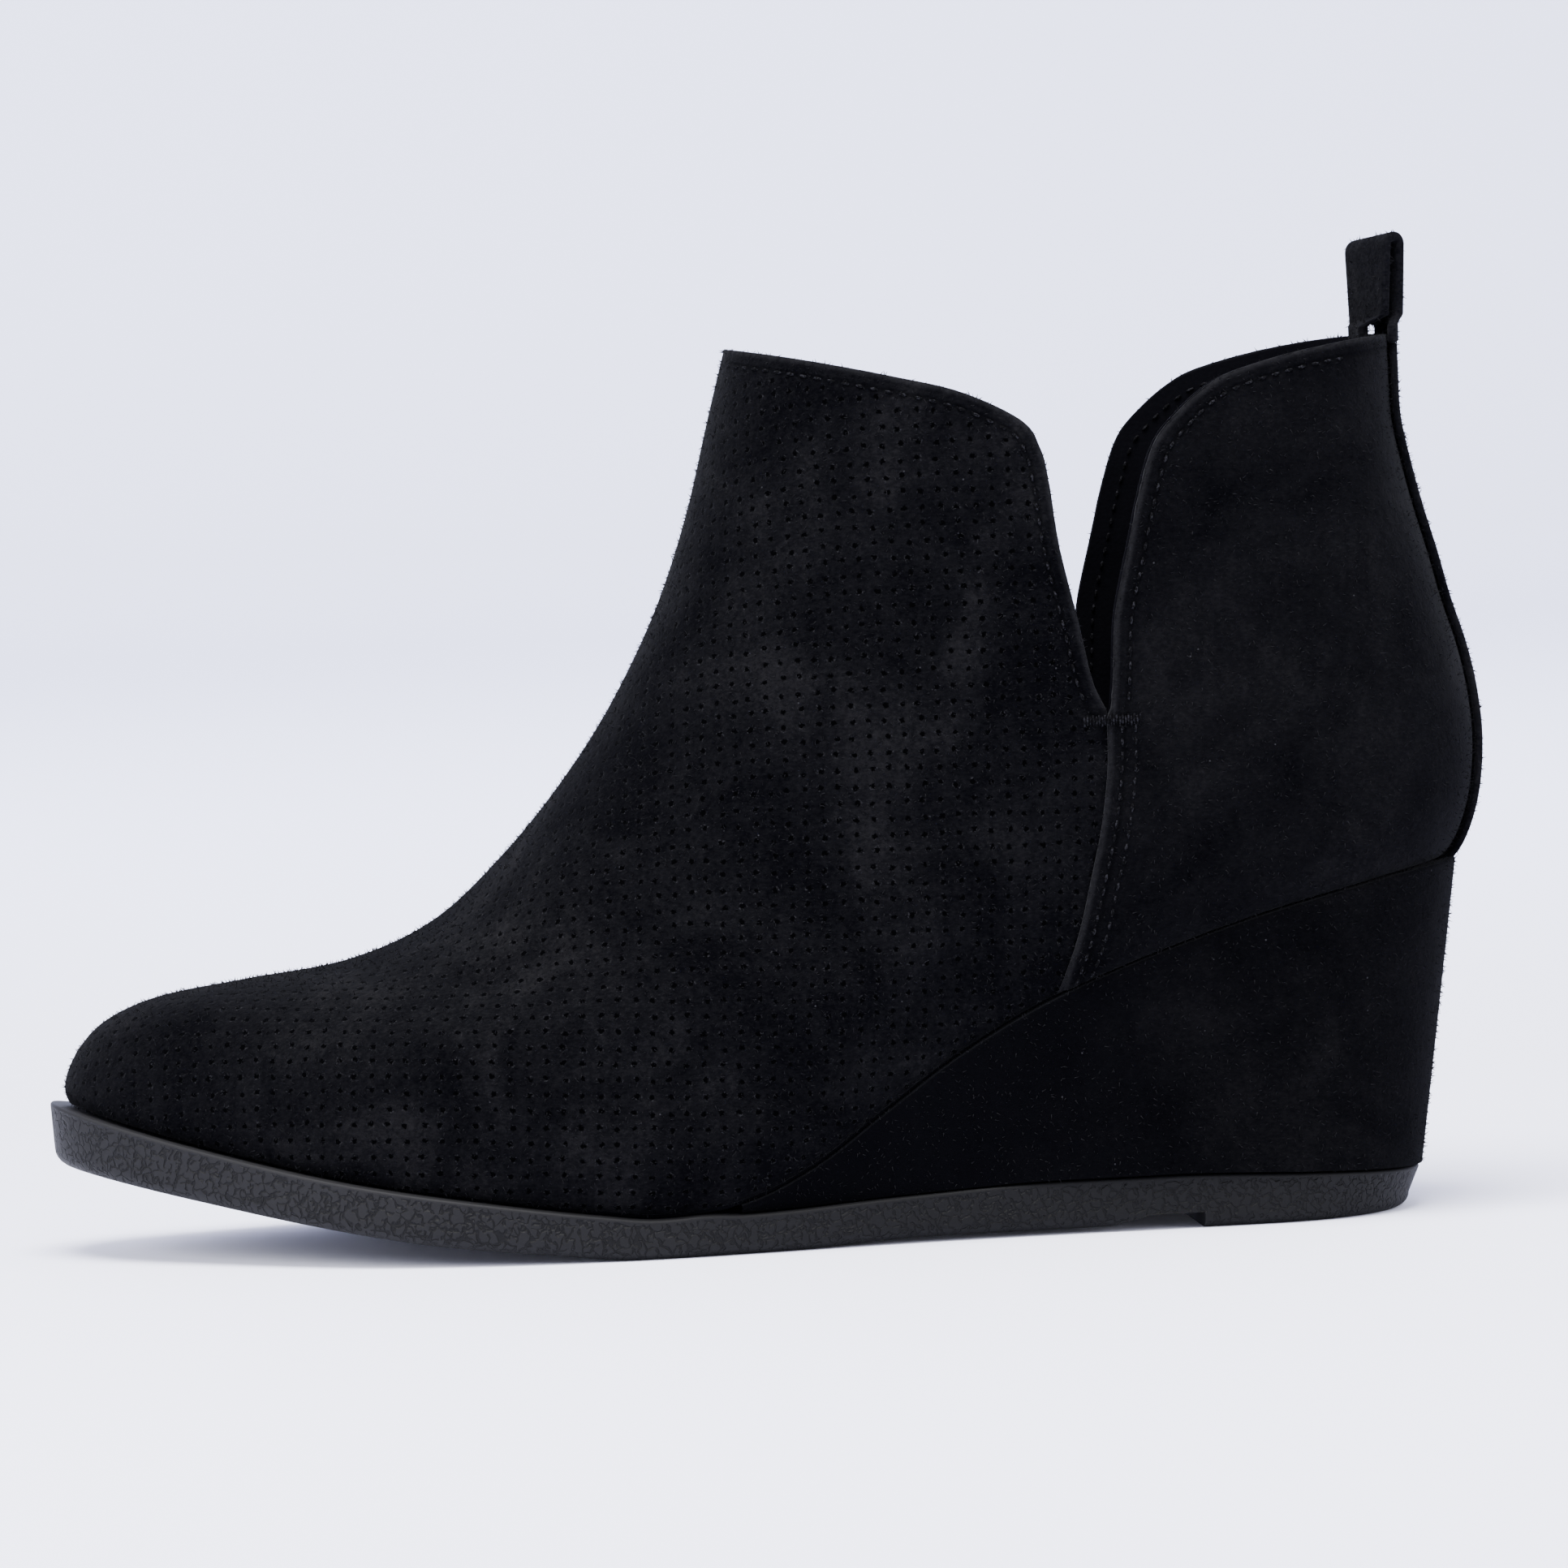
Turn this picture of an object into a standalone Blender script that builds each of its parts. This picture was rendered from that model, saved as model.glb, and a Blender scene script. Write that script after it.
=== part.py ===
# Wedge ankle boot for a left foot: suede upper with a notch on each side,
# covered wedge and rubber outsole.
# Metres. +X points to the toe, +Y to the outer side of the foot, +Z up.
# The origin lies on the floor in the middle of the heel's tread.

from collections import namedtuple
from math import acos, cos, pi, radians, sin, sqrt, tan

import bmesh
import bpy
from mathutils import Vector

# Gap between two pieces that touch on the real boot
GAP = 0.0003
FLOOR_GAP = 0.0005          # the same between the long curved floors

# Last: lengths, heights and widths of the foot form
TOE_REACH = 0.2160          # origin to the upper's toe tip
HEEL_BULGE = 0.0335         # origin back to the fullest point of the heel
COLLAR_HEIGHT = 0.1552      # floor to the top edge, front and back
SEAT_HEIGHT = 0.0620        # floor to the upper's lower edge at the back
BALL_HEIGHT = 0.0073        # floor to the upper's lower edge at the ball
TOE_HEIGHT = 0.0268         # floor to the upper's lower edge at the toe tip
HEEL_WIDTH = 0.0600
WAIST_WIDTH = 0.0590
BALL_WIDTH = 0.0840
SHAFT_WIDTH = 0.0530
TOE_SWING = 0.0080          # how far the toe tip lies to the inner side
TOE_ROUND = 0.0160          # radius of the toe tip seen from above
HEEL_ROUND = 0.0240         # radius of the heel seen from above

# Upper
WALL = 0.0019               # suede and lining together
QUARTER_STEP = 0.0011       # the quarter lies this much proud of the vamp
QUARTER_OVERLAP = 0.0005    # how deep the quarter's form reaches into the wall
QUARTER_FOOT = 0.004        # level at which the quarter's form starts
QUARTER_HEAD = 0.990        # level at which it ends, above the trimmed collar
MARGIN_WIDTH = 0.0100       # lower edge turned in under the insole
TRIM = 0.0090               # form kept above the collar before it is cut
SEAM_REACH = 0.0346         # front edge of the quarter at the notch's foot
NOTCH_FOOT = 0.0903         # floor to the foot of the notch
COLLAR_SKEW = 0.0014        # the inner side's rim lies this much further back

# Insole
INSOLE_THICKNESS = 0.0030
INSOLE_CLEAR = 0.0009       # side gap to the wall at the insole's lower edge

# Wedge
WEDGE_TIP = 0.1015          # origin forward to the wedge's thin end
WEDGE_TOP_BACK = 0.0309     # origin back to the wedge's upper rear edge
WEDGE_BASE_BACK = 0.0236    # origin back to the wedge's lower rear edge
WEDGE_PROUD = 0.0009        # stands out past the upper's lower edge
WEDGE_SHOULDER = 0.0012     # rounding along the wedge's upper edge
WEDGE_FADE = 1.3            # share of its length where that overhang would end

# Outsole
SOLE_TOE_REACH = 0.2185
SOLE_HEEL_BACK = 0.0230
HEEL_RAKE = 0.0019          # the tread ends this much ahead of the top rim
TOE_RAKE = 0.0005           # the same at the toe
SOLE_HEEL_HEIGHT = 0.0092   # top of the outsole under the heel
SOLE_LIP = 0.0020           # rim shown around the forefoot
HEEL_LIP = -0.0008          # the outsole lies a little inside at the heel
LIP_START = 0.3             # share of WEDGE_TIP where the rim starts to widen
LIP_LENGTH = 0.6            # share of WEDGE_TIP over which it widens
TOE_SPRING = 0.0165         # floor to the tread at the toe tip
WAIST_RISE = 0.0009         # floor to the tread under the waist
SOLE_EDGE = 0.0024          # rounding of the tread's edge
SOLE_RIM_EDGE = 0.0006      # rounding of the top rim
BREAST_REACH = 0.0195       # origin forward to the step of the heel's tread
BREAST_WIDTH = 0.0095       # length of the recess in front of that step
BREAST_DEPTH = 0.0028       # floor to the roof of that recess
BREAST_SLOPE = 0.0090       # the recess's front end rises over this length

# Back strap and pull loop
STRAP_WIDTH = 0.0110
STRAP_THICKNESS = 0.0013
STRAP_LIFT = 0.0005         # its long edges stand this much off the quarter
STRAP_CLEAR = 0.0020        # seat to its lower end
STRAP_DROP = 0.0029         # its upper end to the collar
LOOP_WIDTH = 0.0125
LOOP_THICKNESS = 0.0017
LOOP_RISE = 0.0163          # collar to the top of the fold
LOOP_SLOT = 0.0012          # space between the two layers
LOOP_REACH = 0.0112         # collar to the end inside the shaft
LOOP_TURN = 0.0016          # height over which it turns from the shaft's line
LOOP_FOOT_TWIST = radians(18.0)
LOOP_TWIST = radians(27.0)  # at the fold
LOOP_TILT = radians(7.0)
LOOP_CENTRE = -0.0198       # place of the fold along X

# Mesh fineness
HALF_STATIONS = 38
OUTER_ROWS = 20
INNER_ROWS = 14
SLOPE_STEP = 0.003          # step in level or turn over which a slope is taken

# One row for each ring of the upper. level: 0 at the lower edge, 1 at the
# trimmed top. ridge_reach: share of TOE_REACH. ridge_rise: share of the
# climb from TOE_HEIGHT to COLLAR_HEIGHT. back_reach: share of HEEL_BULGE.
Profile = namedtuple("Profile", "level ridge_reach ridge_rise back_reach")
PROFILE = (
    Profile(0.00, 1.000, 0.000, 0.840),
    Profile(0.04, 0.999, 0.028, 0.905),
    Profile(0.09, 0.989, 0.067, 0.960),
    Profile(0.15, 0.965, 0.109, 0.992),
    Profile(0.21, 0.924, 0.139, 1.000),
    Profile(0.28, 0.852, 0.160, 0.980),
    Profile(0.36, 0.768, 0.182, 0.930),
    Profile(0.44, 0.697, 0.232, 0.855),
    Profile(0.52, 0.639, 0.318, 0.792),
    Profile(0.60, 0.590, 0.414, 0.722),
    Profile(0.68, 0.547, 0.520, 0.662),
    Profile(0.76, 0.509, 0.643, 0.615),
    Profile(0.84, 0.481, 0.772, 0.607),
    Profile(0.92, 0.459, 0.913, 0.605),
    Profile(1.00, 0.436, 1.055, 0.605),
)
RIDGE_LEVEL = 0.965         # level whose front point lies at the collar

# Half widths of the rings at six stations from heel to toe, as shares of the
# half width that belongs to the station, for the outer and the inner side.
STATIONS = (0.08, 0.20, 0.40, 0.60, 0.75, 0.90)
Widths = namedtuple("Widths", "level heel seat waist ball tread toe")
OUTER_WIDTHS = (
    Widths(0.00, 0.85, 0.97, 1.08, 0.94, 0.870, 0.45),
    Widths(0.10, 0.89, 1.03, 1.12, 1.01, 0.915, 0.48),
    Widths(0.30, 0.82, 1.03, 1.14, 1.01, 0.985, 0.60),
    Widths(0.50, 0.78, 0.96, 1.11, 0.99, 0.960, 0.76),
    Widths(0.70, 0.72, 0.92, 1.08, 1.02, 0.970, 0.73),
    Widths(1.00, 0.62, 0.82, 0.98, 1.02, 0.950, 0.69),
)
INNER_WIDTHS = (
    Widths(0.00, 0.85, 0.94, 0.90, 0.845, 0.940, 0.70),
    Widths(0.10, 0.89, 1.00, 1.00, 0.915, 1.000, 0.73),
    Widths(0.30, 0.82, 1.01, 1.07, 0.955, 1.020, 0.70),
    Widths(0.50, 0.78, 0.96, 1.07, 0.965, 0.985, 0.79),
    Widths(0.70, 0.72, 0.92, 1.05, 0.990, 0.960, 0.73),
    Widths(1.00, 0.62, 0.82, 0.98, 1.020, 0.950, 0.69),
)

# Ends of the rings: nose_side is a share of TOE_SWING, nose_round of
# TOE_ROUND and back_round of HEEL_ROUND.
Ends = namedtuple("Ends", "level nose_side nose_round back_round")
ENDS = (
    Ends(0.00, 1.00, 0.88, 1.00),
    Ends(0.10, 1.02, 1.00, 1.00),
    Ends(0.30, 0.56, 1.00, 0.88),
    Ends(0.50, 0.19, 1.25, 0.76),
    Ends(0.70, 0.00, 1.25, 0.68),
    Ends(1.00, 0.00, 1.06, 0.64),
)

# Lower edge of the upper. reach: share of TOE_REACH. heel: share of the climb
# from ball to seat. toe: share of the climb from ball to toe tip.
Edge = namedtuple("Edge", "reach heel toe")
LOWER_EDGE = (
    Edge(-0.170, 1.010, 0.000),
    Edge(-0.110, 0.990, 0.000),
    Edge(0.000, 0.905, 0.000),
    Edge(0.116, 0.770, 0.000),
    Edge(0.208, 0.631, 0.000),
    Edge(0.287, 0.463, 0.000),
    Edge(0.347, 0.300, 0.000),
    Edge(0.407, 0.137, 0.000),
    Edge(0.455, 0.048, 0.000),
    Edge(0.490, 0.014, 0.000),
    Edge(0.540, 0.000, 0.005),
    Edge(0.585, 0.000, 0.060),
    Edge(0.671, 0.000, 0.195),
    Edge(0.787, 0.000, 0.405),
    Edge(0.903, 0.000, 0.700),
    Edge(1.012, 0.000, 1.040),
)

# Tread line. reach: share of SOLE_TOE_REACH. waist: share of WAIST_RISE.
# toe: share of TOE_SPRING.
Tread = namedtuple("Tread", "reach waist toe")
TREAD = (
    Tread(-0.20, 0.0, 0.00),
    Tread(0.10, 0.0, 0.00),
    Tread(0.17, 1.0, 0.00),
    Tread(0.31, 1.0, 0.00),
    Tread(0.43, 0.0, 0.00),
    Tread(0.55, 0.0, 0.00),
    Tread(0.60, 0.0, 0.065),
    Tread(0.70, 0.0, 0.210),
    Tread(0.80, 0.0, 0.432),
    Tread(0.90, 0.0, 0.705),
    Tread(1.00, 0.0, 1.000),
)

# Top of the outsole under the wedge. reach: share of WEDGE_TIP. height: share
# of SOLE_HEEL_HEIGHT.
Bed = namedtuple("Bed", "reach height")
SOLE_BED = (
    Bed(-0.25, 0.78),
    Bed(0.00, 0.94),
    Bed(0.25, 1.03),
    Bed(0.45, 1.02),
    Bed(0.70, 0.90),
    Bed(1.00, 0.75),
    Bed(1.25, 0.78),
)

# Front edge of the quarter below the notch. drop: share of NOTCH_FOOT.
# reach: share of SEAM_REACH.
Seam = namedtuple("Seam", "drop reach")
SEAM_LINE = (
    Seam(1.00, 1.000),
    Seam(0.90, 1.005),
    Seam(0.79, 1.045),
    Seam(0.69, 1.105),
    Seam(0.59, 1.170),
    Seam(0.51, 1.245),
    Seam(0.38, 1.370),
)

# Top edge of the vamp and of the quarter, both from the notch's foot upward.
# reach: share of the way from SEAM_REACH to the ridge or to the back.
# rise: share of the climb from NOTCH_FOOT to COLLAR_HEIGHT.
Rim = namedtuple("Rim", "reach rise")
VAMP_RIM = (
    Rim(-0.008, 0.000),
    Rim(0.035, 0.090),
    Rim(0.068, 0.240),
    Rim(0.116, 0.450),
    Rim(0.140, 0.630),
    Rim(0.160, 0.715),
    Rim(0.210, 0.790),
    Rim(0.375, 0.870),
    Rim(0.565, 0.918),
    Rim(0.800, 0.967),
    Rim(1.000, 1.000),
    Rim(1.400, 1.060),
)
QUARTER_RIM = (
    Rim(0.012, 0.000),
    Rim(0.024, 0.110),
    Rim(0.036, 0.260),
    Rim(0.085, 0.440),
    Rim(0.132, 0.600),
    Rim(0.182, 0.720),
    Rim(0.260, 0.798),
    Rim(0.355, 0.864),
    Rim(0.460, 0.906),
    Rim(0.700, 0.955),
    Rim(1.000, 0.985),
    Rim(1.500, 0.995),
)


def column(table, name):
    return [getattr(row, name) for row in table]


def through(keys, values, first=None, last=None, level=True):
    # Smooth curve through the values. With level on, it never overshoots.
    count = len(keys)
    steps = [keys[i + 1] - keys[i] for i in range(count - 1)]
    rises = [(values[i + 1] - values[i]) / steps[i] for i in range(count - 1)]
    slopes = [rises[0]]
    for i in range(1, count - 1):
        before, after = rises[i - 1], rises[i]
        if level and before * after <= 0.0:
            slopes.append(0.0)
        elif level:
            slopes.append(2.0 * before * after / (before + after))
        else:
            share = steps[i - 1] / (steps[i - 1] + steps[i])
            slopes.append(before * (1.0 - share) + after * share)
    slopes.append(rises[-1])
    if first is not None:
        slopes[0] = first
    if last is not None:
        slopes[-1] = last

    def at(key):
        i = 0
        while i < count - 2 and key > keys[i + 1]:
            i += 1
        step = steps[i]
        s = (key - keys[i]) / step
        if s < 0.0:
            return values[0] + slopes[0] * (key - keys[0])
        if s > 1.0:
            return values[-1] + slopes[-1] * (key - keys[-1])
        start = (1.0 + 2.0 * s) * (1.0 - s) ** 2 * values[i]
        end = s * s * (3.0 - 2.0 * s) * values[i + 1]
        leave = s * (1.0 - s) ** 2 * step * slopes[i]
        arrive = s * s * (s - 1.0) * step * slopes[i + 1]
        return start + end + leave + arrive

    return at


def table_curve(table, key, value, level=True):
    return through(column(table, key), column(table, value), level=level)


def mix(a, b, share):
    return a + (b - a) * share


def eased(share):
    share = min(max(share, 0.0), 1.0)
    return share * share * (3.0 - 2.0 * share)


def share_at(turn):
    # Turn 0 at the heel and pi at the toe, crowded towards both ends
    return 0.5 - 0.5 * cos(turn)


heel_climb = table_curve(LOWER_EDGE, "reach", "heel")
toe_climb = table_curve(LOWER_EDGE, "reach", "toe")
ridge_reach = table_curve(PROFILE, "level", "ridge_reach", level=False)
ridge_rise = table_curve(PROFILE, "level", "ridge_rise", level=False)
back_reach = table_curve(PROFILE, "level", "back_reach", level=False)
nose_side = table_curve(ENDS, "level", "nose_side")
nose_round = table_curve(ENDS, "level", "nose_round")
back_round = table_curve(ENDS, "level", "back_round")
station_names = Widths._fields[1:]
outer_shares = [table_curve(OUTER_WIDTHS, "level", name) for name in station_names]
inner_shares = [table_curve(INNER_WIDTHS, "level", name) for name in station_names]
foot_halves = [HEEL_WIDTH / 2, HEEL_WIDTH / 2, WAIST_WIDTH / 2]
foot_halves += [BALL_WIDTH / 2, BALL_WIDTH / 2, BALL_WIDTH / 2]


def lower_edge(x):
    reach = x / TOE_REACH
    heel = heel_climb(reach) * (SEAT_HEIGHT - BALL_HEIGHT)
    toe = toe_climb(reach) * (TOE_HEIGHT - BALL_HEIGHT)
    return BALL_HEIGHT + heel + toe


def ring_ends(level):
    # Back and front points of a ring in the side view: x, z, x, z
    top = COLLAR_HEIGHT + TRIM
    back_x = -back_reach(level) * HEEL_BULGE
    front_x = ridge_reach(level) * TOE_REACH
    back_z = mix(SEAT_HEIGHT, top, level)
    front_z = TOE_HEIGHT + ridge_rise(level) * (COLLAR_HEIGHT - TOE_HEIGHT)
    return back_x, back_z, front_x, front_z


def ring_widths(level):
    # Two curves, outer and inner side, of y over the turn from heel to toe
    back_x, _, front_x, _ = ring_ends(level)
    length = front_x - back_x
    shaft = eased(level)
    nose_y = -nose_side(level) * TOE_SWING
    leave = sqrt(back_round(level) * HEEL_ROUND * length / 2.0)
    arrive = sqrt(nose_round(level) * TOE_ROUND * length / 2.0)
    turns = [0.0] + [acos(1.0 - 2.0 * share) for share in STATIONS] + [pi]
    curves = []
    for side, shares in ((1.0, outer_shares), (-1.0, inner_shares)):
        halves = [side * share(level) * mix(half, SHAFT_WIDTH / 2, shaft)
                  for share, half in zip(shares, foot_halves)]
        curves.append(through(turns, [0.0] + halves + [nose_y],
                              side * leave, -side * arrive, level=False))
    return curves


def level_at(height):
    # Level of the ring whose back point lies at this height
    return (height - SEAT_HEIGHT) / (COLLAR_HEIGHT + TRIM - SEAT_HEIGHT)


edge_back_x, edge_back_z, edge_front_x, edge_front_z = ring_ends(0.0)


def form_point(level, turn, side, widths=None):
    # Point of the last's surface; side is 1 on the outer side, -1 inside
    curves = widths or ring_widths(level)
    back_x, back_z, front_x, front_z = ring_ends(level)
    share = share_at(turn)
    edge_x = mix(edge_back_x, edge_front_x, share)
    sag = mix(edge_back_z, edge_front_z, share) - lower_edge(edge_x)
    sag -= mix(edge_back_z - lower_edge(edge_back_x), edge_front_z - lower_edge(edge_front_x), share)
    x = mix(back_x, front_x, share)
    z = mix(back_z, front_z, share) - (1.0 - level) * sag
    return Vector((x, curves[0 if side > 0 else 1](turn), z))


def ring_turns(count=HALF_STATIONS):
    # Turn and side of each point once round a ring, starting at the heel
    outer = [(pi * i / count, 1.0) for i in range(count + 1)]
    inner = [(pi * i / count, -1.0) for i in range(count - 1, 0, -1)]
    return outer + inner


def form_ring(level, offset, count=HALF_STATIONS):
    # Points of one ring, moved out from the form by the offset
    low, high = max(level - SLOPE_STEP, 0.0), min(level + SLOPE_STEP, 1.0)
    turns = ring_turns(count)
    widths, low_widths, high_widths = ring_widths(level), ring_widths(low), ring_widths(high)
    points = [form_point(level, turn, side, widths) for turn, side in turns]
    ring = []
    for i, (turn, side) in enumerate(turns):
        along = points[(i + 1) % len(points)] - points[i - 1]
        up = form_point(high, turn, side, high_widths) - form_point(low, turn, side, low_widths)
        ring.append(points[i] - along.cross(up).normalized() * offset)
    return ring


def plan_inset(ring, inset, height):
    # Ring moved inward in plan, at the height given for each x
    moved = []
    for i, point in enumerate(ring):
        along = ring[(i + 1) % len(ring)] - ring[i - 1]
        inward = Vector((along.y, -along.x, 0.0)).normalized()
        place = point + inward * inset
        moved.append(Vector((place.x, place.y, height(place.x))))
    return moved


def cross_pairs(count=HALF_STATIONS):
    # Outer and inner index at each station of a ring, for flat caps
    return [(0, 0)] + [(i, 2 * count - i) for i in range(1, count)] + [(count, count)]


def material(name, colour, roughness):
    made = bpy.data.materials.new(name)
    made.use_nodes = True
    shader = made.node_tree.nodes["Principled BSDF"]
    shader.inputs["Base Color"].default_value = (*colour, 1.0)
    shader.inputs["Roughness"].default_value = roughness
    shader.inputs["Metallic"].default_value = 0.0
    return made


def mesh_object(name, bm, finish=None):
    bmesh.ops.recalc_face_normals(bm, faces=bm.faces)
    if bm.calc_volume(signed=True) < 0.0:
        bmesh.ops.reverse_faces(bm, faces=bm.faces)
    mesh = bpy.data.meshes.new(name)
    bm.to_mesh(mesh)
    bm.free()
    mesh.shade_smooth()
    mesh.set_sharp_from_angle(angle=radians(40.0))
    made = bpy.data.objects.new(name, mesh)
    bpy.context.collection.objects.link(made)
    if finish:
        mesh.materials.append(finish)
    return made


def lofted(name, rings, finish=None, pairs=None):
    # Skin over rings of equal count, closed round each ring. With pairs, the
    # first and last ring get caps; without, the last ring joins the first.
    bm = bmesh.new()
    rows = [[bm.verts.new(point) for point in ring] for ring in rings]
    count = len(rings[0])
    spans = list(zip(rows, rows[1:])) if pairs else list(zip(rows, rows[1:] + rows[:1]))
    for lower, upper in spans:
        for i in range(count):
            j = (i + 1) % count
            bm.faces.new((lower[i], lower[j], upper[j], upper[i]))
    for row in (rows[0], rows[-1]) if pairs else ():
        for (a, b), (c, d) in zip(pairs, pairs[1:]):
            corners = dict.fromkeys((row[a], row[c], row[d], row[b]))
            bm.faces.new(corners)
    return mesh_object(name, bm, finish)


def guide(made):
    made.hide_render = True
    made.display_type = "WIRE"
    return made


def prism(name, outline, half_width, skew=0.0):
    # Closed side-view outline drawn out to both sides of the boot. skew is how
    # far forward it moves for each metre outward, from the shaft's outer side.
    bm = bmesh.new()
    inner = -skew * (half_width + SHAFT_WIDTH / 2)
    verts = [bm.verts.new((x + inner, -half_width, z)) for x, z in outline]
    face = bm.faces.new(verts)
    moved = bmesh.ops.extrude_face_region(bm, geom=[face])["geom"]
    far = [item for item in moved if isinstance(item, bmesh.types.BMVert)]
    bmesh.ops.translate(bm, verts=far, vec=(2.0 * half_width * skew, 2.0 * half_width, 0.0))
    return guide(mesh_object(name, bm))


def boolean(target, tool, operation):
    cut = target.modifiers.new(tool.name, "BOOLEAN")
    cut.operation = operation
    cut.solver = "EXACT"
    cut.object = tool


def traced(table, key, value, count):
    # Even walk along a table's curve, as pairs of its two columns
    places = range(len(table))
    first = through(list(places), column(table, key), level=False)
    second = through(list(places), column(table, value), level=False)
    last = len(table) - 1
    return [(first(last * i / count), second(last * i / count)) for i in range(count + 1)]


def collar_outline():
    climb = COLLAR_HEIGHT - NOTCH_FOOT
    ridge = ridge_reach(RIDGE_LEVEL) * TOE_REACH
    vamp = [(mix(SEAM_REACH, ridge, reach), NOTCH_FOOT + rise * climb)
            for reach, rise in traced(VAMP_RIM, "reach", "rise", 30)]
    back = -back_reach(level_at(COLLAR_HEIGHT)) * HEEL_BULGE
    quarter = [(mix(SEAM_REACH, back, reach), NOTCH_FOOT + rise * climb)
               for reach, rise in traced(QUARTER_RIM, "reach", "rise", 30)]
    high = COLLAR_HEIGHT + 3.0 * TRIM
    return vamp + [(vamp[-1][0], high), (quarter[-1][0], high)] + quarter[:0:-1]


def seam_outline():
    line = [(reach * SEAM_REACH, drop * NOTCH_FOOT)
            for drop, reach in traced(SEAM_LINE, "drop", "reach", 14)]
    far = -2.0 * HEEL_BULGE
    high = COLLAR_HEIGHT + 3.0 * TRIM
    return [(line[0][0], high)] + line + [(line[-1][0], -GAP), (far, -GAP), (far, high)]


def build_upper(suede):
    edge = form_ring(0.0, 0.0)
    outer = [form_ring(i / OUTER_ROWS, 0.0) for i in range(OUTER_ROWS, 0, -1)]
    bottom = [edge, plan_inset(edge, MARGIN_WIDTH, lower_edge)]
    bottom.append(plan_inset(edge, MARGIN_WIDTH, lambda x: lower_edge(x) + WALL))
    bottom.append(plan_inset(edge, WALL, lambda x: lower_edge(x) + WALL))
    # The first inner ring lies clear above the turned-in margin
    first = 1.5 * WALL / (COLLAR_HEIGHT - SEAT_HEIGHT)
    inner = [form_ring(mix(first, 1.0, i / INNER_ROWS), -WALL) for i in range(INNER_ROWS + 1)]
    upper = lofted("upper", outer + bottom + inner, suede)

    over = [form_ring(mix(QUARTER_HEAD, QUARTER_FOOT, i / OUTER_ROWS), QUARTER_STEP)
            for i in range(OUTER_ROWS + 1)]
    under = [form_ring(mix(QUARTER_FOOT, QUARTER_HEAD, i / INNER_ROWS), -QUARTER_OVERLAP)
             for i in range(INNER_ROWS + 1)]
    quarter = guide(lofted("quarter_form", over + under))
    boolean(quarter, prism("quarter_region", seam_outline(), BALL_WIDTH), "INTERSECT")
    boolean(upper, quarter, "UNION")
    collar = prism("collar_cut", collar_outline(), BALL_WIDTH, COLLAR_SKEW / SHAFT_WIDTH)
    boolean(upper, collar, "DIFFERENCE")


def build_insole(lining):
    # Lies on the turned-in margin; its rim leans in with the toe's wall
    edge = form_ring(0.0, 0.0)
    low, high = WALL + FLOOR_GAP, WALL + FLOOR_GAP + INSOLE_THICKNESS
    rings = [plan_inset(edge, WALL + INSOLE_CLEAR, lambda x: lower_edge(x) + low)]
    rings.append(plan_inset(edge, WALL + 3.0 * INSOLE_CLEAR, lambda x: lower_edge(x) + high))
    lofted("insole", rings, lining, cross_pairs())


sole_bed = table_curve(SOLE_BED, "reach", "height")
tread_waist = table_curve(TREAD, "reach", "waist")
tread_toe = table_curve(TREAD, "reach", "toe")


def sole_top(x):
    # Under the wedge the outsole has its own top; ahead of it the upper rests
    own = sole_bed(x / WEDGE_TIP) * SOLE_HEEL_HEIGHT
    ahead = eased((x - WEDGE_TIP) / (0.1 * WEDGE_TIP))
    return mix(own, lower_edge(x) - FLOOR_GAP, ahead)


def tread(x):
    reach = x / SOLE_TOE_REACH
    return tread_waist(reach) * WAIST_RISE + tread_toe(reach) * TOE_SPRING


def lip_at(x):
    return mix(HEEL_LIP, SOLE_LIP, eased((x / WEDGE_TIP - LIP_START) / LIP_LENGTH))


def plan_ring(back, front, turns, spread):
    # Ring with the plan of the upper's lower edge between two other ends
    curves = ring_widths(0.0)
    ring = []
    for turn, side in turns:
        x = mix(-back, front, share_at(turn))
        y = curves[0 if side > 0 else 1](turn)
        ring.append(Vector((x, y + side * spread(x) * sqrt(sin(turn)), 0.0)))
    return ring


def build_outsole(rubber):
    edge = plan_ring(SOLE_HEEL_BACK, SOLE_TOE_REACH, ring_turns(), lip_at)
    low_edge = plan_ring(SOLE_HEEL_BACK - HEEL_RAKE, SOLE_TOE_REACH - TOE_RAKE, ring_turns(), lip_at)
    rings = []
    for i in range(4):
        bend = 0.5 * pi * i / 3
        inset = SOLE_EDGE * (1.0 - sin(bend))
        rings.append(plan_inset(low_edge, inset, lambda x: tread(x) + SOLE_EDGE * (1.0 - cos(bend))))
    rings.append(plan_inset(edge, 0.0, lambda x: sole_top(x) - SOLE_RIM_EDGE))
    rings.append(plan_inset(edge, SOLE_RIM_EDGE, sole_top))
    outsole = lofted("outsole", rings, rubber, cross_pairs())
    front = BREAST_REACH + BREAST_WIDTH
    recess = [(BREAST_REACH, -SOLE_EDGE), (BREAST_REACH, BREAST_DEPTH), (front, BREAST_DEPTH)]
    recess += [(front + BREAST_SLOPE, WAIST_RISE - GAP), (front + BREAST_SLOPE, -SOLE_EDGE)]
    boolean(outsole, prism("breast_cut", recess, BALL_WIDTH), "DIFFERENCE")


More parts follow.
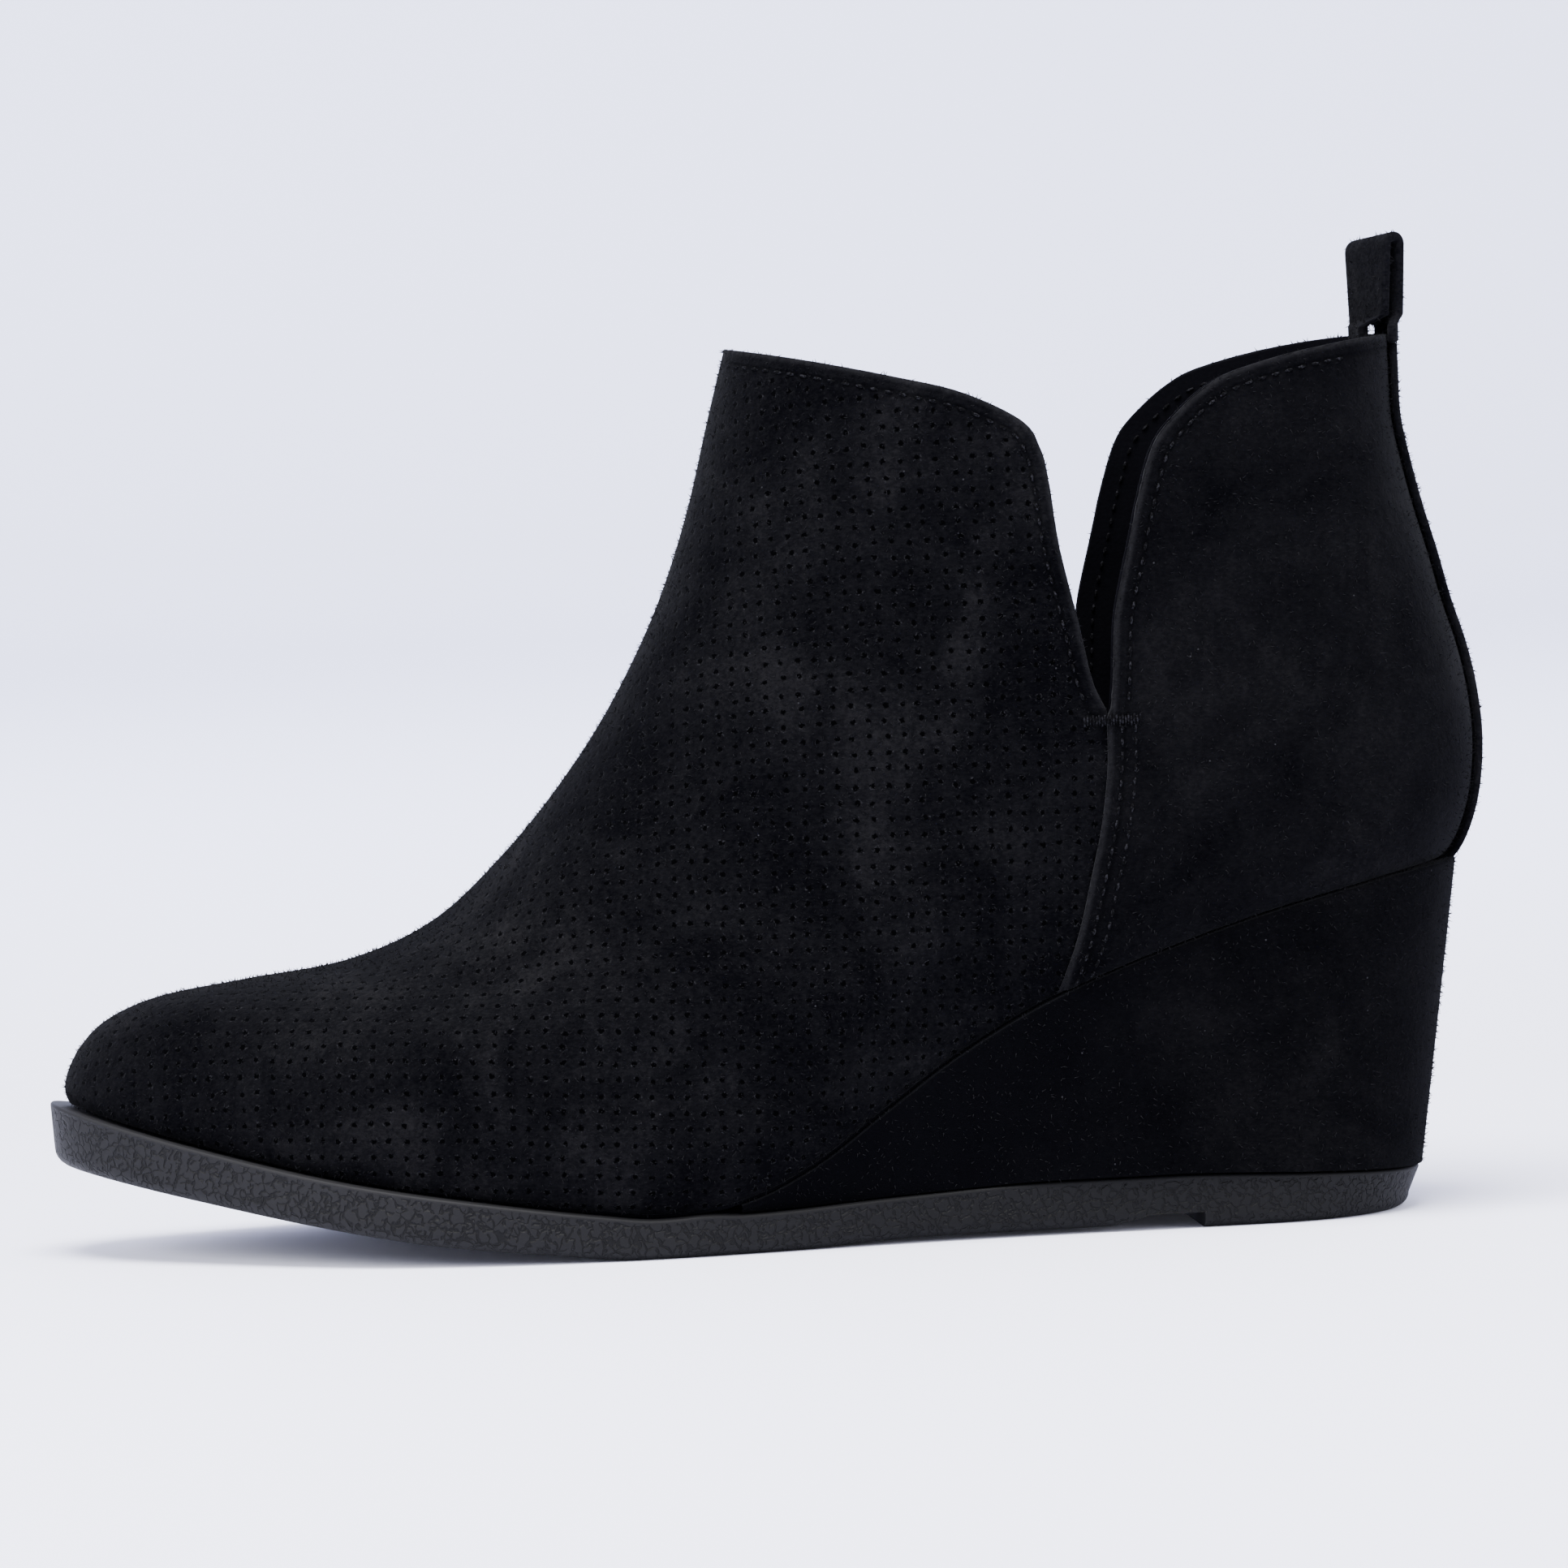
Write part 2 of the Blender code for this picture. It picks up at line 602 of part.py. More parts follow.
def wedge_ring(height, count):
    # Height 0 on the outsole, 1 under the upper. The ring ends square at the
    # wedge's thin front edge.
    spans = [0.5 * pi * i / count for i in range(count + 1)]
    base_share = 1.0 - cos(1.0)
    sides = []
    for side in (1.0, -1.0):
        row = []
        for span in spans:
            share = (1.0 - cos(span / (0.5 * pi))) / base_share
            back = mix(WEDGE_BASE_BACK, WEDGE_TOP_BACK, height)
            x = mix(-back, WEDGE_TIP, share)
            along = (x + back) / (back + mix(SOLE_TOE_REACH, TOE_REACH, height))
            y = ring_widths(0.0)[0 if side > 0 else 1](acos(1.0 - 2.0 * along))
            fade = sqrt(sin(acos(1.0 - 2.0 * along)))
            proud = mix(HEEL_LIP + WEDGE_PROUD, WEDGE_PROUD, height) * eased(WEDGE_FADE - share)
            row.append(Vector((x, y + side * proud * fade, 0.0)))
        sides.append(row)
    return sides[0] + sides[1][:0:-1]


def build_wedge(suede):
    count = 20
    rows = 6
    rings = []
    for i in range(rows + 1):
        height = i / rows
        ring = wedge_ring(height, count)
        for p in ring:
            low = sole_top(p.x) + GAP
            high = lower_edge(p.x) - FLOOR_GAP
            shoulder = min(WEDGE_SHOULDER, 0.4 * (high - low))
            p.z = mix(low, high - shoulder, height)
        rings.append(ring)
    top = [p.copy() for p in rings[-1]]
    for p in top:
        inward = Vector((max(-p.x, 0.0), -p.y, 0.0))
        p += inward.normalized() * WEDGE_SHOULDER
        p.z = lower_edge(p.x) - FLOOR_GAP
    rings.append(top)
    pairs = [(0, 0)] + [(i, 2 * count + 1 - i) for i in range(1, count + 1)]
    lofted("wedge", rings, suede, pairs)


def back_point(height, across, offset):
    # Point on the back of the form, offset outward, a distance from the middle
    level = level_at(height)
    back_x, _, front_x, _ = ring_ends(level)
    slope = sqrt(back_round(level) * HEEL_ROUND * (front_x - back_x) / 2.0)
    turn, side = abs(across) / slope, 1.0 if across >= 0.0 else -1.0
    point = form_point(level, turn, side)
    low = form_point(level - SLOPE_STEP, turn, side)
    high = form_point(level + SLOPE_STEP, turn, side)
    ahead = form_point(level, turn + SLOPE_STEP, side)
    behind = form_point(level, abs(turn - SLOPE_STEP), side if turn >= SLOPE_STEP else -side)
    out = (high - low).cross(ahead - behind).normalized() * side
    return point + out * offset


def strip_ring(columns, inner, outer):
    # Cross-section of a strip: its outer face, then its inner face backward
    return [outer(c) for c in columns] + [inner(c) for c in reversed(columns)]


def strip_pairs(columns):
    return [(i, 2 * len(columns) - 1 - i) for i in range(len(columns))]


strap_top = COLLAR_HEIGHT - STRAP_DROP


def build_back_strap(suede):
    half = STRAP_WIDTH / 2
    columns = [mix(-half, half, i / 4) for i in range(5)]
    rows = 20
    rings = []
    for i in range(rows + 1):
        height = mix(SEAT_HEIGHT + STRAP_CLEAR, strap_top, i / rows)

        def face(across, offset):
            lift = STRAP_LIFT * (across / half) ** 2
            return back_point(height, across, QUARTER_STEP + GAP + lift + offset)

        rings.append(strip_ring(columns, lambda c: face(c, 0.0), lambda c: face(c, STRAP_THICKNESS)))
    lofted("back_strap", rings, suede, strip_pairs(columns))


def loop_point(height, across, depth, free):
    # Point of the loop; depth is counted forward from between its layers.
    # free is 0 where the strap lies on the shaft and 1 in the standing loop.
    share = (height - COLLAR_HEIGHT) / LOOP_RISE
    swing = mix(LOOP_FOOT_TWIST, LOOP_TWIST, min(max(share, 0.0), 1.0))
    place = Vector((LOOP_CENTRE + depth * cos(swing) - across * sin(swing),
                    across * cos(swing) + depth * sin(swing),
                    height + across * tan(LOOP_TILT)))
    if free >= 1.0:
        return place
    forward = depth > 0.0
    thickness = abs(depth) - LOOP_SLOT / 2
    if forward:
        offset = -(WALL + GAP + thickness)
    else:
        offset = QUARTER_STEP + GAP + thickness
    return back_point(height, across, offset).lerp(place, eased(free))


def build_pull_loop(suede):
    half = LOOP_WIDTH / 2
    columns = [mix(-half, half, i / 4) for i in range(5)]
    near, far = LOOP_SLOT / 2, LOOP_SLOT / 2 + LOOP_THICKNESS
    fold = COLLAR_HEIGHT + LOOP_RISE - far
    clear = COLLAR_HEIGHT + GAP
    rings = []

    def leg(heights, sign):
        for height in heights:
            free = (height - clear) / LOOP_TURN
            rings.append(strip_ring(columns,
                                    lambda c: loop_point(height, c, sign * near, free),
                                    lambda c: loop_point(height, c, sign * far, free)))

    rise = [clear + LOOP_TURN * i / 4 for i in range(4)]
    rise += [mix(clear + LOOP_TURN, fold, i / 4) for i in range(5)]
    leg([mix(COLLAR_HEIGHT - LOOP_REACH, clear, i / 3) for i in range(3)] + rise, 1.0)
    for i in range(1, 6):
        bend = pi * i / 6
        rings.append(strip_ring(
            columns,
            lambda c: loop_point(fold + near * sin(bend), c, near * cos(bend), 1.0),
            lambda c: loop_point(fold + far * sin(bend), c, far * cos(bend), 1.0)))
    leg(rise[::-1] + [strap_top + GAP], -1.0)
    lofted("pull_loop", rings, suede, strip_pairs(columns))


def main():
    for old in list(bpy.data.objects):
        bpy.data.objects.remove(old, do_unlink=True)
    suede = material("black_suede", (0.012, 0.012, 0.015), 0.92)
    strap = material("strap_suede", (0.014, 0.014, 0.017), 0.92)
    covering = material("wedge_suede", (0.012, 0.012, 0.015), 0.92)
    lining = material("insole_lining", (0.055, 0.055, 0.060), 0.80)
    rubber = material("grey_rubber", (0.045, 0.047, 0.052), 0.70)
    build_outsole(rubber)
    build_wedge(covering)
    build_upper(suede)
    build_insole(lining)
    build_back_strap(strap)
    build_pull_loop(strap)


main()
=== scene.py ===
from math import cos, pi, radians, sin

import bmesh
import bpy
import numpy as np
from mathutils import Matrix, Vector


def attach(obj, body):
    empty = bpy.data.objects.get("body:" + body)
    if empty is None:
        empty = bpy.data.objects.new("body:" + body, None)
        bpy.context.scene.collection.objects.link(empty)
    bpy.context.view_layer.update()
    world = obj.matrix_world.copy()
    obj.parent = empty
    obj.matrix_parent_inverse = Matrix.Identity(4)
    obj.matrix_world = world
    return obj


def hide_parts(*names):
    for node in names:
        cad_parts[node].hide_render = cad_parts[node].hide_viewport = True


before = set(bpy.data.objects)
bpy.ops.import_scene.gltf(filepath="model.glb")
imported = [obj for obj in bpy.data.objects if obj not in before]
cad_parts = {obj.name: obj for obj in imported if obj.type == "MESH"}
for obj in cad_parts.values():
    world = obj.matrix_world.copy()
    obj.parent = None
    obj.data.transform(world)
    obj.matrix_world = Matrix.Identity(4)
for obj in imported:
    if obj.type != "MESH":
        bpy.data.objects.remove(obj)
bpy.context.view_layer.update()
print("frame loaded")

mm = 0.001
weld = 0.00002                             # points nearer than this are one

# The foot form, in metres
last = {
    "toeReach": 0.2160, "heelBulge": 0.0335, "collarHeight": 0.1552,
    "seatHeight": 0.0620, "ballHeight": 0.0073, "toeHeight": 0.0268,
    "heelWidth": 0.0600, "waistWidth": 0.0590, "ballWidth": 0.0840,
    "shaftWidth": 0.0530, "toeSwing": 0.0080, "toeRound": 0.0160,
    "heelRound": 0.0240, "trim": 0.0090, "ridgeLevel": 0.965,
}

# level, ridge reach, ridge rise, back reach
profileRows = (
    (0.00, 1.000, 0.000, 0.840), (0.04, 0.999, 0.028, 0.905),
    (0.09, 0.989, 0.067, 0.960), (0.15, 0.965, 0.109, 0.992),
    (0.21, 0.924, 0.139, 1.000), (0.28, 0.852, 0.160, 0.980),
    (0.36, 0.768, 0.182, 0.930), (0.44, 0.697, 0.232, 0.855),
    (0.52, 0.639, 0.318, 0.792), (0.60, 0.590, 0.414, 0.722),
    (0.68, 0.547, 0.520, 0.662), (0.76, 0.509, 0.643, 0.615),
    (0.84, 0.481, 0.772, 0.607), (0.92, 0.459, 0.913, 0.605),
    (1.00, 0.436, 1.055, 0.605),
)
stations = (0.08, 0.20, 0.40, 0.60, 0.75, 0.90)
# level, then the half width at each station
outerRows = (
    (0.00, 0.85, 0.97, 1.08, 0.94, 0.870, 0.45),
    (0.10, 0.89, 1.03, 1.12, 1.01, 0.915, 0.48),
    (0.30, 0.82, 1.03, 1.14, 1.01, 0.985, 0.60),
    (0.50, 0.78, 0.96, 1.11, 0.99, 0.960, 0.76),
    (0.70, 0.72, 0.92, 1.08, 1.02, 0.970, 0.73),
    (1.00, 0.62, 0.82, 0.98, 1.02, 0.950, 0.69),
)
innerRows = (
    (0.00, 0.85, 0.94, 0.90, 0.845, 0.940, 0.70),
    (0.10, 0.89, 1.00, 1.00, 0.915, 1.000, 0.73),
    (0.30, 0.82, 1.01, 1.07, 0.955, 1.020, 0.70),
    (0.50, 0.78, 0.96, 1.07, 0.965, 0.985, 0.79),
    (0.70, 0.72, 0.92, 1.05, 0.990, 0.960, 0.73),
    (1.00, 0.62, 0.82, 0.98, 1.020, 0.950, 0.69),
)
# level, nose side, nose round, back round
endRows = (
    (0.00, 1.00, 0.88, 1.00), (0.10, 1.02, 1.00, 1.00), (0.30, 0.56, 1.00, 0.88),
    (0.50, 0.19, 1.25, 0.76), (0.70, 0.00, 1.25, 0.68), (1.00, 0.00, 1.06, 0.64),
)
# reach, climb to the seat, climb to the toe
edgeRows = (
    (-0.170, 1.010, 0.000), (-0.110, 0.990, 0.000), (0.000, 0.905, 0.000),
    (0.116, 0.770, 0.000), (0.208, 0.631, 0.000), (0.287, 0.463, 0.000),
    (0.347, 0.300, 0.000), (0.407, 0.137, 0.000), (0.455, 0.048, 0.000),
    (0.490, 0.014, 0.000), (0.540, 0.000, 0.005), (0.585, 0.000, 0.060),
    (0.671, 0.000, 0.195), (0.787, 0.000, 0.405), (0.903, 0.000, 0.700),
    (1.012, 0.000, 1.040),
)


def cubic(keys, values, slopes, at):
    spot = np.atleast_1d(at).ravel()
    i = np.clip(np.searchsorted(keys, spot) - 1, 0, len(keys) - 2)
    own = np.arange(len(spot)) if values.shape[1] > 1 else 0
    step = keys[i + 1] - keys[i]
    s = np.clip((spot - keys[i]) / step, 0.0, 1.0)
    made = (1 + 2 * s) * (1 - s) ** 2 * values[i, own] + s * s * (3 - 2 * s) * values[i + 1, own]
    made += s * (1 - s) ** 2 * step * slopes[i, own] + s * s * (s - 1) * step * slopes[i + 1, own]
    made += slopes[0, own] * np.minimum(spot - keys[0], 0)
    made += slopes[-1, own] * np.maximum(spot - keys[-1], 0)
    return made.reshape(np.shape(at))


def innerSlopes(steps, rises):
    share = (steps[:-1] / (steps[:-1] + steps[1:]))[:, None]
    return rises[:-1] * (1 - share) + rises[1:] * share


def smoothCurve(keys, values, level=True):
    # level: never swings past the values it goes through
    keys = np.array(keys, float)
    values = np.array(values, float)[:, None]
    steps = np.diff(keys)
    rises = np.diff(values, axis=0) / steps[:, None]
    inner = innerSlopes(steps, rises)
    if level:
        same = rises[:-1] * rises[1:] > 0
        total = np.where(same, rises[:-1] + rises[1:], 1.0)
        inner = np.where(same, 2 * rises[:-1] * rises[1:] / total, 0.0)
    slopes = np.concatenate((rises[:1], inner, rises[-1:]))
    return lambda at: cubic(keys, values, slopes, at)


def tableCurve(rows, index, level=True):
    return smoothCurve([r[0] for r in rows], [r[index] for r in rows], level)


def mix(a, b, share):
    return a + (b - a) * share


def eased(share):
    share = np.clip(share, 0.0, 1.0)
    return share * share * (3 - 2 * share)


heelClimb, toeClimb = tableCurve(edgeRows, 1), tableCurve(edgeRows, 2)
ridgeReach, ridgeRise, backReach = [tableCurve(profileRows, i, False) for i in (1, 2, 3)]
noseSide, noseRound, backRound = [tableCurve(endRows, i) for i in (1, 2, 3)]
sideShares = {1: [tableCurve(outerRows, i) for i in range(1, 7)],
              -1: [tableCurve(innerRows, i) for i in range(1, 7)]}
footHalves = [last["heelWidth"] / 2] * 2 + [last["waistWidth"] / 2] + [last["ballWidth"] / 2] * 3
stationTurns = np.concatenate(([0.0], np.arccos(1 - 2 * np.array(stations)), [pi]))


def lowerEdge(x):
    reach = x / last["toeReach"]
    heel = heelClimb(reach) * (last["seatHeight"] - last["ballHeight"])
    return last["ballHeight"] + heel + toeClimb(reach) * (last["toeHeight"] - last["ballHeight"])


def ringEnds(level):
    backZ = mix(last["seatHeight"], last["collarHeight"] + last["trim"], level)
    frontZ = last["toeHeight"] + ridgeRise(level) * (last["collarHeight"] - last["toeHeight"])
    return -backReach(level) * last["heelBulge"], backZ, ridgeReach(level) * last["toeReach"], frontZ


def halfWidth(turn, level, side):
    backX, _, frontX, _ = ringEnds(level)
    length = frontX - backX
    values = np.zeros((8, turn.size))
    for i, share in enumerate(sideShares[side]):
        values[i + 1] = side * share(level) * mix(footHalves[i], last["shaftWidth"] / 2, eased(level))
    values[7] = -noseSide(level) * last["toeSwing"]
    steps = np.diff(stationTurns)
    rises = np.diff(values, axis=0) / steps[:, None]
    leave = side * np.sqrt(backRound(level) * last["heelRound"] * length / 2)
    arrive = -side * np.sqrt(noseRound(level) * last["toeRound"] * length / 2)
    slopes = np.concatenate((leave[None], innerSlopes(steps, rises), arrive[None]))
    return cubic(stationTurns, values, slopes, turn)


edgeEnds = [float(v) for v in ringEnds(np.array(0.0))]


def levelAt(height):
    # Level of a height on the form's back
    return (height - last["seatHeight"]) / (last["collarHeight"] + last["trim"] - last["seatHeight"])


def heightAt(level, share):
    _, backZ, _, frontZ = ringEnds(level)
    edgeX = mix(edgeEnds[0], edgeEnds[2], share)
    sag = mix(edgeEnds[1], edgeEnds[3], share) - lowerEdge(edgeX)
    sag -= mix(edgeEnds[1] - lowerEdge(edgeEnds[0]), edgeEnds[3] - lowerEdge(edgeEnds[2]), share)
    return mix(backZ, frontZ, share) - (1 - level) * sag


def form(a, level):
    # a runs once round the form: 0 heel, pi toe, first the outer side
    a, level = np.broadcast_arrays(np.mod(a, 2 * pi), level)
    flatA, flatL = a.ravel(), level.ravel()
    outer = flatA <= pi
    turn = np.where(outer, flatA, 2 * pi - flatA)
    backX, _, frontX, _ = ringEnds(flatL)
    share = 0.5 - 0.5 * np.cos(turn)
    y = np.where(outer, halfWidth(turn, flatL, 1), halfWidth(turn, flatL, -1))
    points = np.stack((mix(backX, frontX, share), y, heightAt(flatL, share)), axis=1)
    return points.reshape(a.shape + (3,))


# Soft troughs and ridges: x, z, length, width, lean in degrees, depth, side, all in mm
softFolds = (
    (118, 34, 30, 7, 12, -0.9, 1),
    (133, 46, 22, 6, -8, 0.6, 1),
    (104, 26, 20, 6, -35, -0.6, 1),
    (150, 24, 26, 7, 10, -0.5, 1),
    (92, 62, 26, 8, 40, -0.7, 1),
    (76, 88, 22, 7, 55, 0.5, 1),
    (60, 112, 20, 8, 80, -0.4, 1),
    (8, 104, 20, 8, 20, -0.5, 1),
    (-12, 84, 18, 7, -30, 0.4, 1),
    (120, 36, 28, 8, 15, -0.8, -1),
    (90, 66, 26, 8, 40, -0.6, -1),
    (60, 110, 22, 8, 75, 0.4, -1),
    (0, 100, 22, 9, 15, -0.5, -1),
)


def folds(points):
    total = np.zeros(points.shape[:-1])
    for x, z, length, width, lean, depth, side in softFolds:
        dx, dz = points[..., 0] - x * mm, points[..., 2] - z * mm
        c, s = cos(radians(lean)), sin(radians(lean))
        along, across = (dx * c + dz * s) / (length * mm), (dz * c - dx * s) / (width * mm)
        rise = depth * mm * np.exp(-along ** 2 - across ** 2)
        total += rise * (np.sign(points[..., 1]) == side) * eased(np.abs(points[..., 1]) / (8 * mm))
    return total


def skin(a, level, offset=0.0):
    # Points of the upper's skin and their outward directions
    base = form(a, level)
    step = 0.003
    along = form(a + step, level) - form(a - step, level)
    up = form(a, level + step) - form(a, np.maximum(level - step, 0.0))
    out = -np.cross(along, up)
    out /= np.linalg.norm(out, axis=-1, keepdims=True)
    tuck = 0.0009 * np.exp(-np.maximum(level, 0) / 0.012)
    return base + out * (offset + folds(base) - tuck)[..., None], out


# The collar, the notch and the quarter's front edge
cuts = {
    "seamReach": 0.0346, "notchFoot": 0.0903, "skew": 0.0014,
    "wall": 0.0019, "quarterStep": 0.0011, "tuck": 0.0030,
}
# drop, reach
seamRows = ((1.00, 1.000), (0.90, 1.005), (0.79, 1.045), (0.69, 1.105), (0.59, 1.170),
            (0.51, 1.245), (0.38, 1.370))
# reach, rise
vampRows = ((-0.008, 0.000), (0.035, 0.090), (0.068, 0.240), (0.116, 0.450), (0.140, 0.630),
            (0.160, 0.715), (0.210, 0.790), (0.375, 0.870), (0.565, 0.918), (0.800, 0.967),
            (1.000, 1.000), (1.400, 1.060))
quarterRows = ((0.012, 0.000), (0.024, 0.110), (0.036, 0.260), (0.085, 0.440), (0.132, 0.600),
               (0.182, 0.720), (0.260, 0.798), (0.355, 0.864), (0.460, 0.906), (0.700, 0.955),
               (1.000, 0.985), (1.500, 0.995))


def traced(rows, start, end, count):
    places = list(range(len(rows)))
    first = smoothCurve(places, [r[0] for r in rows], False)
    second = smoothCurve(places, [r[1] for r in rows], False)
    at = np.linspace(start, end, count)
    return first(at), second(at)


def toForm(x, z, side):
    # Place on the form (a, level) of a point of the side view
    shift = np.zeros(x.shape)
    for _ in range(3):
        low, high = np.zeros(x.shape), np.full(x.shape, 1.05)
        for _ in range(26):
            level = (low + high) / 2
            backX, _, frontX, _ = ringEnds(level)
            share = np.clip((x + shift - backX) / (frontX - backX), 0, 1)
            below = heightAt(level, share) < z
            low, high = np.where(below, level, low), np.where(below, high, level)
        turn = np.arccos(1 - 2 * share)
        a = turn if side > 0 else 2 * pi - turn
        y = form(a, level)[..., 1]
        shift = cuts["skew"] / last["shaftWidth"] * (y - last["shaftWidth"] / 2)
    return a, level


climb = last["collarHeight"] - cuts["notchFoot"]
ridgeX = float(ridgeReach(last["ridgeLevel"])) * last["toeReach"]
collarLevel = levelAt(last["collarHeight"])
backX = -float(backReach(collarLevel)) * last["heelBulge"]


def seamLine(inset=0.0, tuck=0.0, count=60):
    # From the lower edge up to the notch's foot; inset moves it to the heel
    drop, reach = traced(seamRows, 0, 6, count)
    x, z = reach * cuts["seamReach"], drop * cuts["notchFoot"]
    x = x - inset - tuck * np.clip((cuts["notchFoot"] - z) / (4 * mm), 0, 1)
    keep = z > lowerEdge(x)
    z = np.where(keep, z, lowerEdge(x))
    lowest = int(np.argmin(keep)) if not keep.all() else len(z) - 1
    return x[lowest::-1], z[lowest::-1]


def rimLine(rows, target, start, end, inset=0.0, count=80):
    # Along a top edge from the notch's foot; inset moves it into the panel
    reach, rise = traced(rows, start, end, count)
    x = mix(cuts["seamReach"], target, reach)
    z = cuts["notchFoot"] + rise * climb
    tx, tz = np.gradient(x), np.gradient(z)
    size = np.hypot(tx, tz)
    turned = 1 if target > 0 else -1
    return x + turned * tz / size * inset, z - turned * tx / size * inset


def walkAlong(points):
    # How far each point of a line is from its start
    return np.concatenate(([0], np.cumsum(np.linalg.norm(np.diff(points, axis=0), axis=1))))


def spread(a, level, at):
    # Places on the form at the given shares of a line's length
    length = walkAlong(form(a, level))
    return np.stack((np.interp(at * length[-1], length, a), np.interp(at * length[-1], length, level)), 1)


def crowded(count, length, start, end):
    # Even places from 0 to 1 with finer steps near the chosen ends
    at = list(np.linspace(0, 1, count))
    for step in (0.18 * mm, 0.42 * mm, 0.75 * mm, 1.2 * mm):
        at += ([step / length] if start else []) + ([1 - step / length] if end else [])
    return np.array(sorted(at))


def coons(left, right, bottom, top, u, v):
    u, v = u[None, :, None], v[:, None, None]
    left, right, bottom, top = left[:, None], right[:, None], bottom[None], top[None]
    corners = ((1 - u) * (1 - v) * bottom[:, :1] + u * (1 - v) * bottom[:, -1:]
               + (1 - u) * v * top[:, :1] + u * v * top[:, -1:])
    return (1 - u) * left + u * right + (1 - v) * bottom + v * top - corners


def nearest(points, line):
    flat = points.reshape(-1, 3)
    found = np.empty(len(flat))
    for i in range(0, len(flat), 4000):
        apart = flat[i:i + 4000, None] - line[None]
        found[i:i + 4000] = np.sqrt((apart ** 2).sum(2).min(1))
    return found.reshape(points.shape[:-1])


def gridObject(name, points, flip=True, values=None, uv=None):
    # A grid of points (rows, columns) as a mesh; values become attributes
    rows, columns = points.shape[:2]
    bm = bmesh.new()
    bmesh.ops.create_grid(bm, x_segments=columns - 1, y_segments=rows - 1, size=0.5)
    layers = {key: bm.verts.layers.float.new(key) for key in (values or {})}
    uvLayer = bm.loops.layers.uv.new("pattern") if uv is not None else None
    places = {}
    for v in bm.verts:
        i = round((v.co.x + 0.5) * (columns - 1))
        j = round((v.co.y + 0.5) * (rows - 1))
        places[v.index] = (j, i)
        v.co = points[j, i]
        for key, layer in layers.items():
            v[layer] = float(values[key][j, i])
    if uvLayer:
        for face in bm.faces:
            spots = [places[loop.vert.index] for loop in face.loops]
            half = 0 if sum(s[1] for s in spots) / len(spots) < uv[2] else 1
            for loop, (j, i) in zip(face.loops, spots):
                loop[uvLayer].uv = uv[half][j, i - (uv[2] if half else 0)]
    if flip:
        bmesh.ops.reverse_faces(bm, faces=bm.faces)
    return bmObject(name, bm)


def bmObject(name, bm, smooth=True):
    mesh = bpy.data.meshes.new(name)
    bm.to_mesh(mesh)
    bm.free()
    if smooth:
        mesh.shade_smooth()
    made = bpy.data.objects.new(name, mesh)
    bpy.context.scene.collection.objects.link(made)
    return made


def gathered(parts, welded=False):
    # One mesh from several, which are used up
    bm = bmesh.new()
    for part in parts:
        bm.from_mesh(part.data)
        bpy.data.objects.remove(part)
    if welded:
        bmesh.ops.remove_doubles(bm, verts=bm.verts, dist=weld)
    else:
        bmesh.ops.bridge_loops(bm, edges=[e for e in bm.edges if e.is_boundary])
    bmesh.ops.recalc_face_normals(bm, faces=bm.faces)
    return bm


def finishPiece(piece, material, nodes=()):
    piece.data.materials.clear()
    piece.data.materials.append(material)
    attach(piece, "root")
    if nodes:
        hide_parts(*nodes)
    return piece


def applied(piece):
    # The piece's mesh with its modifiers in it
    shown = piece.evaluated_get(bpy.context.evaluated_depsgraph_get())
    mesh = bpy.data.meshes.new_from_object(shown)
    old = piece.data
    piece.modifiers.clear()
    piece.data = mesh
    bpy.data.meshes.remove(old)
    return piece


class Sock:
    # A node socket that takes arithmetic
    def __init__(self, tree, socket):
        self.tree, self.socket = tree, socket

    def math(self, operation, *values):
        return self.tree.node("ShaderNodeMath", {"operation": operation}, dict(enumerate(values)))

    def __add__(self, other): return self.math("ADD", self, other)
    def __radd__(self, other): return self.math("ADD", other, self)
    def __sub__(self, other): return self.math("SUBTRACT", self, other)
    def __rsub__(self, other): return self.math("SUBTRACT", other, self)
    def __mul__(self, other): return self.math("MULTIPLY", self, other)
    def __rmul__(self, other): return self.math("MULTIPLY", other, self)
    def __truediv__(self, other): return self.math("DIVIDE", self, other)
    def __rtruediv__(self, other): return self.math("DIVIDE", other, self)

    def step(self, low, high):
        # 0 at low, 1 at high, smooth between; low may be the larger
        return self.tree.node("ShaderNodeMapRange", {"interpolation_type": "SMOOTHSTEP"},
                              {"Value": self, "From Min": low, "From Max": high})

    def capped(self):
        return self.math("MINIMUM", self.math("MAXIMUM", self, 0.0), 1.0)


class Tree:
    # A node tree with one method that adds nodes
    def __init__(self, tree):
        self.nodes, self.links = tree.nodes, tree.links

    def node(self, kind, settings, values, output=0):
        made = self.nodes.new(kind)
        for key, value in settings.items():
            if key == "stops":
                ramp = made.color_ramp
                for i, (at, colour) in enumerate(value):
                    stop = ramp.elements[i] if i < 2 else ramp.elements.new(at)
                    stop.position, stop.color = at, (*colour, 1.0)
            else:
                setattr(made, key, value)
        for key, value in values.items():
            if isinstance(value, Sock):
                self.links.new(value.socket, made.inputs[key])
            else:
                made.inputs[key].default_value = value
        return made if output is None else Sock(self, made.outputs[output])


